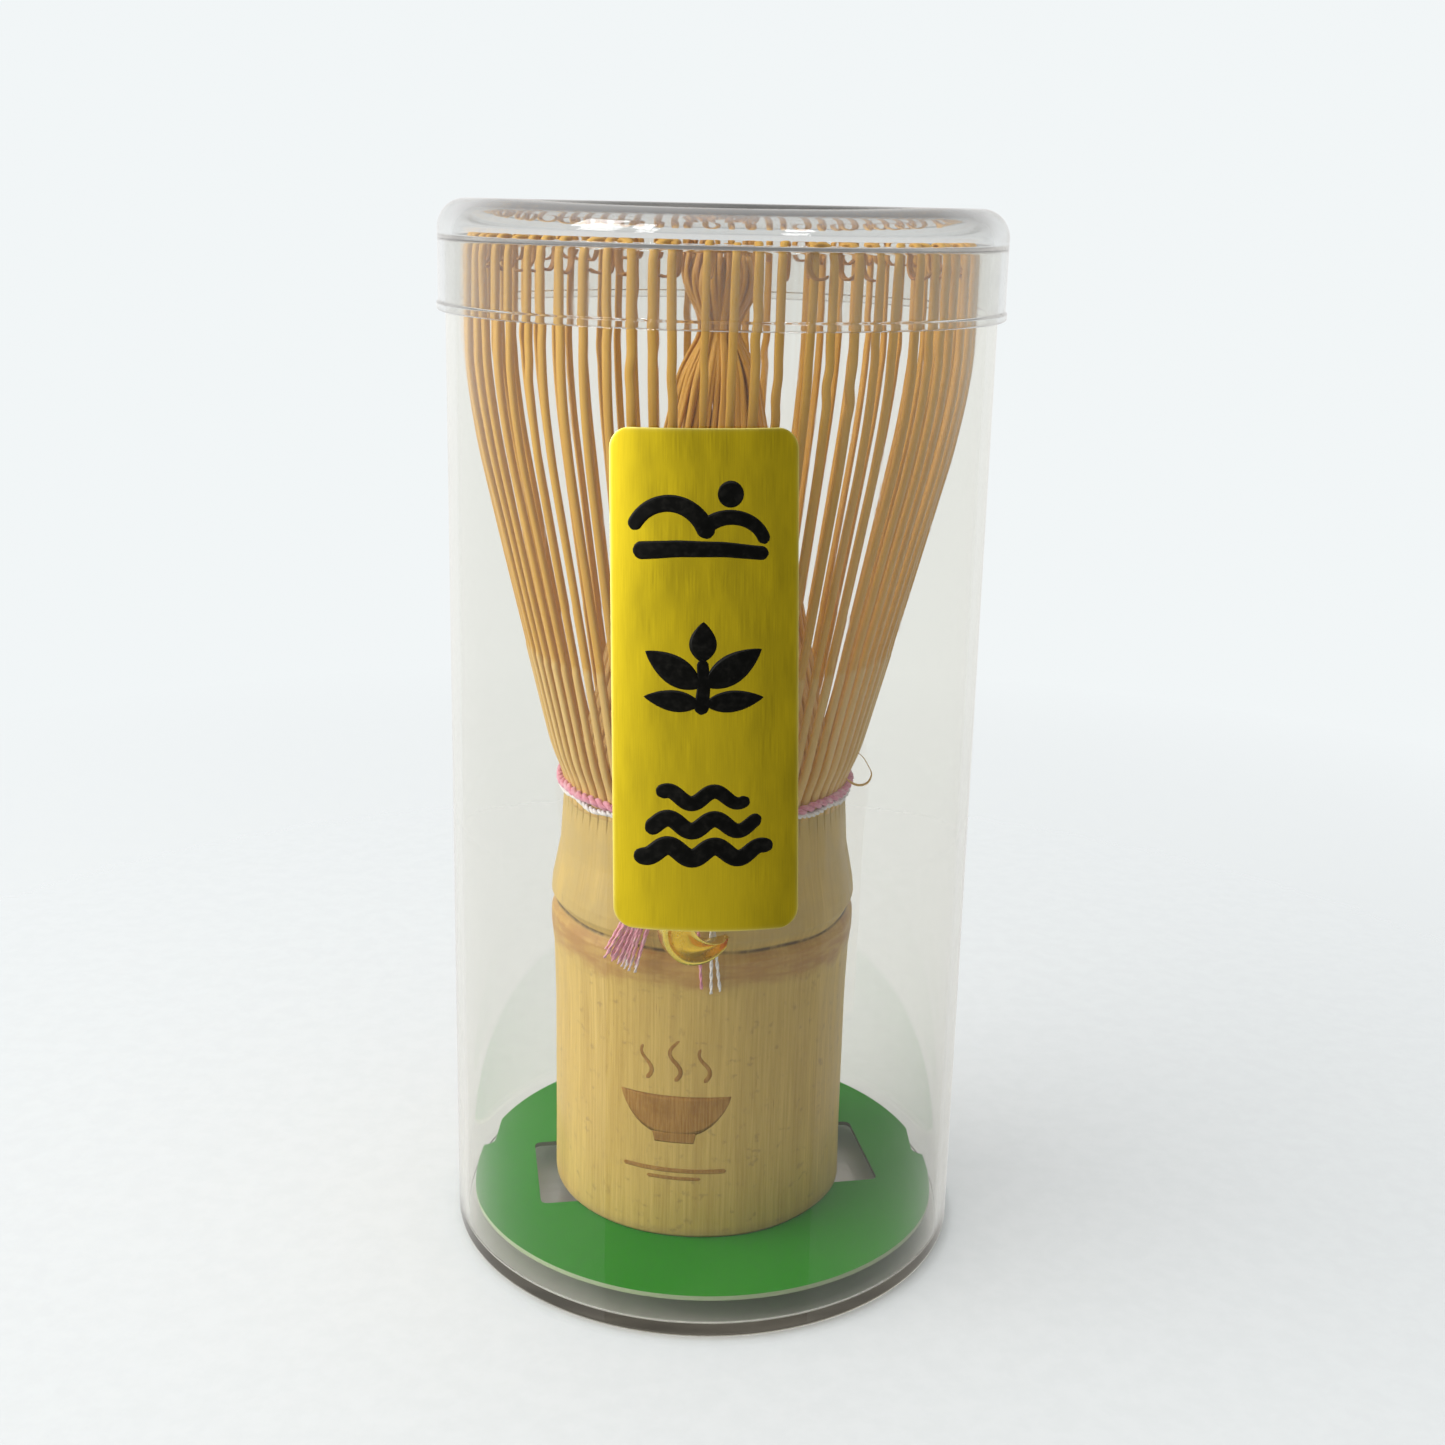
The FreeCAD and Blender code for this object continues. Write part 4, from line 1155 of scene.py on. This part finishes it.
def crescent_section():
    """Cross-section as (u, v, hollow): u from the bite (0) to the rim (1), v from front (-1) to back;
    hollow marks the dished face, which takes a darker orange painted shade.
    """
    lip = 0.13
    section = [(1.0, -0.85, 0), (1.0, -0.4, 0), (1.0, 0.3, 0), (0.995, 0.75, 0), (0.96, 0.95, 0),
               (0.87, 1.0, 0), (0.5, 1.0, 0), (0.2, 1.0, 0), (0.06, 0.85, 0), (0.0, 0.5, 0),
               (0.0, -0.4, 0), (0.0, -0.85, 0), (0.02, -1.0, 0), (lip * 0.8, -1.0, 0)]
    for share in np.linspace(0.03, 0.97, 13):
        section.append((lip + (1 - 2 * lip) * share, -1.0 + 0.85 * sin(pi * share) ** 0.7, 1))
    return section + [(1 - lip * 0.8, -1.0, 0), (0.985, -0.97, 0)]


def moon_charm():
    """Puffed crescent: a deep side wall, a rounded rim and a dished front face."""
    along = (BITE_REACH ** 2 + CHARM_RADIUS ** 2 - BITE_RADIUS ** 2) / (2 * BITE_REACH)
    tip = acos(along / CHARM_RADIUS)
    stations = 96
    sweep = 0.5 - 0.5 * np.cos(np.linspace(0.09, pi - 0.09, stations))
    rim = circle(BITE_TURN + tip + (TAU - 2 * tip) * sweep)
    # where the line from the crescent's centre leaves the bite circle
    bite = circle(BITE_TURN) * BITE_REACH
    cast = rim @ bite
    inner = cast + np.sqrt(np.maximum(BITE_RADIUS ** 2 - (bite @ bite - cast ** 2), 0.0))
    wide = np.maximum(CHARM_RADIUS - inner, 0.12)
    half = CHARM_THICK / 2 * np.clip(wide / 0.9, 0.25, 1) ** 0.5
    section = np.array(crescent_section())
    radius = inner[:, None] + wide[:, None] * section[:, 0]
    x = rim[:, :1] * radius - EYE_REACH * cos(EYE_TURN)
    y = half[:, None] * section[:, 1]
    z = rim[:, 1:] * radius - EYE_REACH * sin(EYE_TURN)
    places = [value.reshape(-1, 1) for value in (x, y, z)]
    hang = hang_point()
    points = hang + places[0] * CHARM_SIDE + places[1] * CHARM_BACK + places[2] * UP
    piece = add_mesh("crescent_charm", points, strip_faces(stations, 0, len(section)), GOLD, "charm",
                     ["moon_charm"], values={"hollow": np.tile(section[:, 2], stations)})
    cut_eye(piece, hang)
    return piece


def hang_point():
    """Centre of the hole that the thread ring passes through."""
    low, high = node_box("charm_loop")
    y = low[1] + RING_RADIUS * cos(CHARM_YAW) + RING_THREAD
    return np.array([(low[0] + high[0]) / 2, y, low[2] + RING_THREAD])


def cut_eye(piece, hang):
    sides = 24
    angles = np.arange(sides) / sides * TAU
    points = [hang + reach * CHARM_BACK + EYE_RADIUS * (cos(a) * CHARM_SIDE + sin(a) * UP)
              for reach in (-2.0, 2.0) for a in angles]
    cutter = scene_object("eye_cutter", raw_mesh("eye_cutter", points, strip_faces(2, 0, sides)))
    cut = piece.modifiers.new("eye", "BOOLEAN")
    cut.operation = "DIFFERENCE"
    cut.object = cutter
    made = evaluated_mesh(piece)
    piece.modifiers.clear()
    piece.data = made
    bpy.data.objects.remove(cutter)


def charm_loop():
    """Thread ring through the charm's hole, the drop above it and its turn back to the knot."""
    low, high = node_box("charm_loop")
    x, y, z = hang_point()
    turn = np.linspace(0, TAU, 90)[:, None] - pi / 2
    middle = np.array([x, y, z + RING_RADIUS])
    ring = middle + RING_RADIUS * (np.cos(turn) * CHARM_BACK + np.sin(turn) * UP)
    top = high[2] - RING_THREAD
    drop = [(x, y, z + 2 * RING_RADIUS), (x, y, top - 0.5), (x, y + 0.5, top), (x, high[1] - 0.1, top)]
    parts = []
    for line in (ring, smooth_line(drop, 0.12, 3)):
        parts += twisted(line, 2, 0.12, 0.1, 0.9, 6)
    cord_mesh("charm_ring_thread", parts, WHITE, "charm", "charm_loop", 6)


def stray_fibre():
    """A loose shaving of bamboo that sticks out beside the thread on the right."""
    line = [(16.9, -5.2, 62.0), (18.6, -5.8, 60.8), (19.7, -6.2, 58.9), (19.2, -6.2, 57.7),
            (18.2, -6.0, 57.3), (17.2, -5.8, 57.6), (16.6, -5.5, 58.1)]
    line = smooth_line(np.array(line) + WHISK_AXIS, 0.2, 6)
    radius = np.interp(np.linspace(0, 1, len(line)), [0, 0.45, 0.6, 0.9, 1], [0.04, 0.06, 0.14, 0.15, 0.08])
    points, faces = joined([cord(line, radius, 6)], 6)
    grain = coords(line[:, 0], line[:, 1], arc_length(line))
    none = np.zeros(len(points))
    values = {"grain": np.repeat(grain, 6, axis=0), "height": points[:, 2], "tint": none, "tip": none,
              "inside": none}
    add_mesh("stray_bamboo_fibre", points, faces, BAMBOO_TINE, "whisk", values=values)


# studio: lengths here are in metres

BACKGROUND = (0.886, 0.921, 0.930)
ROOM_LEVEL = 1.05


def floor_material():
    """Pale tabletop that gives way to the plain background a little way out. Just under the case
    it is painted darker and warmer, as shade.
    """
    mat = new_material("pale_floor")
    place = mat.place()
    grain = mat.remap(mat.noise(place, 300.0, 3.0, 0.6), 0.3, 0.7)
    colour = mat.mix(grain, (0.70, 0.72, 0.725), (0.73, 0.75, 0.755))
    x, y, _ = mat.parts(place)
    reach = mat.math("SQRT", mat.plus(mat.math("POWER", x, 2.0), mat.math("POWER", y, 2.0)))
    # painted shade: darker, warmer floor just under the case
    under_case_shade = mat.remap(reach, 0.0300, 0.0312, 0.6, 0.0)
    colour = mat.mix(under_case_shade, colour, (0.50, 0.46, 0.43))
    surface = mat.surface(colour=colour, rough=0.7, specular=0.1)
    fade = mat.remap(reach, 0.031, 0.27, 0.35, 1.0, "LINEAR")
    under = mat.remap(reach, 0.0305, 0.0325)
    return mat.finish(mat.either(mat.times(fade, under), surface, mat.out("BsdfTransparent")))


def floor():
    sides = 48
    rings = [0.02, 0.04, 0.08, 0.16, 0.32]
    angles = np.arange(sides) / sides * TAU
    points = [(0, 0, 0)] + [(reach * cos(a), reach * sin(a), 0) for reach in rings for a in angles]
    faces = [(0, 1 + k, 1 + (k + 1) % sides) for k in range(sides)]
    faces += [face[::-1] for face in grid_faces(len(rings), sides, wrap_columns=True, start=1)]
    mesh = raw_mesh("floor", points, faces, 1.0)
    mesh.materials.append(floor_material())
    disc = scene_object("floor", mesh)
    disc.location = (0, 0, -0.0002)
    disc.visible_glossy = False


def area_light(name, place, target, size, power, colour=(1, 1, 1)):
    light = bpy.data.lights.new(name, "AREA")
    light.shape = "RECTANGLE"
    light.size, light.size_y = size
    light.energy = power
    light.color = colour
    lamp = scene_object(name, light)
    lamp.location = place
    lamp.rotation_euler = (Vector(target) - Vector(place)).to_track_quat("-Z", "Y").to_euler()
    lamp.visible_camera = False
    return lamp


def link_light(lamp, pieces, state):
    """EXCLUDE keeps the lamp off the pieces; INCLUDE lets it light only them."""
    group = bpy.data.collections.new(lamp.name + "_" + state.lower())
    for piece in pieces:
        group.objects.link(piece)
    lamp.light_linking.receiver_collection = group
    for member in group.collection_objects:
        member.light_linking.link_state = state


def studio_world():
    """Camera rays meet a plain pale background; reflections meet a room dimmer above and in front."""
    world = bpy.data.worlds.new("studio")
    bpy.context.scene.world = world
    mat = Shader(world)
    x, y, z = mat.parts(mat.out("TexCoord", None, "Generated"))
    greys = [(0.0, 0.55), (0.48, 0.95), (0.6, 0.75), (0.8, 0.40), (1.0, 0.38)]
    rise = mat.ramp(mat.remap(z, -1.0, 1.0, kind="LINEAR"), [(at, (grey,) * 3) for at, grey in greys])
    front = mat.remap(y, -0.2, 0.9, 0.50, 1.0)
    side = mat.remap(x, -0.9, 0.9, 1.15, 0.85)
    level = mat.mix(1.0, rise, mat.times(front, side), "MULTIPLY")
    room = mat.out("Background", {"Color": level, "Strength": ROOM_LEVEL})
    plain = mat.out("Background", {"Color": BACKGROUND})
    rays = mat.node("LightPath").outputs
    through = mat.times(rays["Is Transmission Ray"], mat.remap(z, 0.05, 0.25, 1.0, 0.0))
    seen = mat.math("MAXIMUM", rays["Is Camera Ray"], through)
    mat.node("OutputWorld", {"Surface": mat.either(seen, room, plain)})


def studio(plastic, lid, label, charm):
    """Main lamps that leave the plastic out, then small ones for the lid, the label and the charm."""
    floor()
    studio_world()
    dark_front()
    middle = (0, 0, 0.06)
    high = (0, 0, 0.12)
    front = (0, -0.03, 0.055)
    key = area_light("key", (-0.65, -0.14, 0.34), middle, (0.7, 0.8), 6.2, (1.0, 0.99, 0.97))
    top = area_light("top", (-0.05, -0.02, 0.52), middle, (0.5, 0.5), 1.7, (0.98, 0.99, 1.0))
    for lamp in (key, top):
        link_light(lamp, plastic, "EXCLUDE")
    only = [(lid, "left_pane", (-0.36, -0.27, 0.42), high, (0.15, 0.22), 1.3),
            (lid, "front_pane", (-0.26, -0.42, 0.40), high, (0.07, 0.16), 0.5),
            (lid, "right_pane", (0.24, -0.42, 0.36), high, (0.10, 0.08), 0.3),
            (label, "label_sheen", (-0.46, -0.42, 0.10), front, (0.25, 0.5), 1.4),
            (label, "label_fill", (0.11, -0.6, 0.30), front, (0.5, 0.3), 0.9),
            (label, "label_table_light", (-0.08, -0.30, -0.16), front, (0.4, 0.25), 0.16),
            (charm, "charm_glint", (-0.10, -0.50, 0.34), front, (0.12, 0.12), 1.0)]
    for piece, name, *settings in only:
        lamp = area_light(name, *settings)
        lamp.data.use_shadow = name != "label_table_light"
        link_light(lamp, [piece], "INCLUDE")


def dark_front():
    """Dim screen behind the camera, met only by reflections, so that the case's front stays clear."""
    mat = new_material("dim_screen")
    cloud = mat.noise(mat.place(), 3.0, 2.0)
    colour = mat.mix(cloud, (0.05, 0.05, 0.05), (0.08, 0.08, 0.083))
    radius = 0.62
    low, high = -0.5, 0.62
    turn = np.linspace(-0.75, 0.85, 17)
    points = [(radius * sin(a), -radius * cos(a), z) for z in (low, high) for a in turn]
    mesh = raw_mesh("dim_screen", points, grid_faces(2, len(turn)), 1.0)
    mesh.materials.append(mat.finish(mat.out("Emission", {"Color": colour})))
    screen = scene_object("dim_screen", mesh)
    for kind in ("camera", "diffuse", "transmission", "shadow"):
        setattr(screen, "visible_" + kind, False)


def camera():
    """Eye level with the lid, looking slightly down, as a hand-held close shot."""
    pitch, roll = radians(14.27), radians(1.25)
    forward = Vector((0, cos(pitch), -sin(pitch)))
    level_right = Vector((1, 0, 0))
    level_up = Vector((0, sin(pitch), cos(pitch)))
    right = level_right * cos(roll) + level_up * sin(roll)
    up = level_up * cos(roll) - level_right * sin(roll)
    data = bpy.data.cameras.new("camera")
    data.sensor_width = 36
    data.lens = 43.977
    data.shift_x = 0.00574
    data.shift_y = -0.0502
    data.clip_start = 0.01
    eye = scene_object("camera", data)
    rotation = Matrix((right, up, -forward)).transposed().to_4x4()
    eye.matrix_world = Matrix.Translation((0, -0.2036, 0.1237)) @ rotation
    bpy.context.scene.camera = eye


tube = case_tube()
lid = case_lid()
base_insert()
label = foil_label()
label_ink()
whisk_handle()
engraved_mark()
tines(outer_tine, 23, "outer_tine_ring", BAMBOO_TINE, "outer_tines", "bamboo_tine")
tines(inner_tine, 37, "inner_tine_bundle", BAMBOO_INNER, "inner_tines", "bamboo_inner")
thread_rings()
thread_knot()
loose_threads()
charm = moon_charm()
charm_loop()
stray_fibre()
studio([tube, lid], lid, label, charm)
camera()
bpy.context.scene.view_settings.view_transform = "Standard"
rays = bpy.context.scene.cycles
rays.transparent_max_bounces = 32
rays.max_bounces = 24
rays.transmission_bounces = 24
rays.glossy_bounces = 12
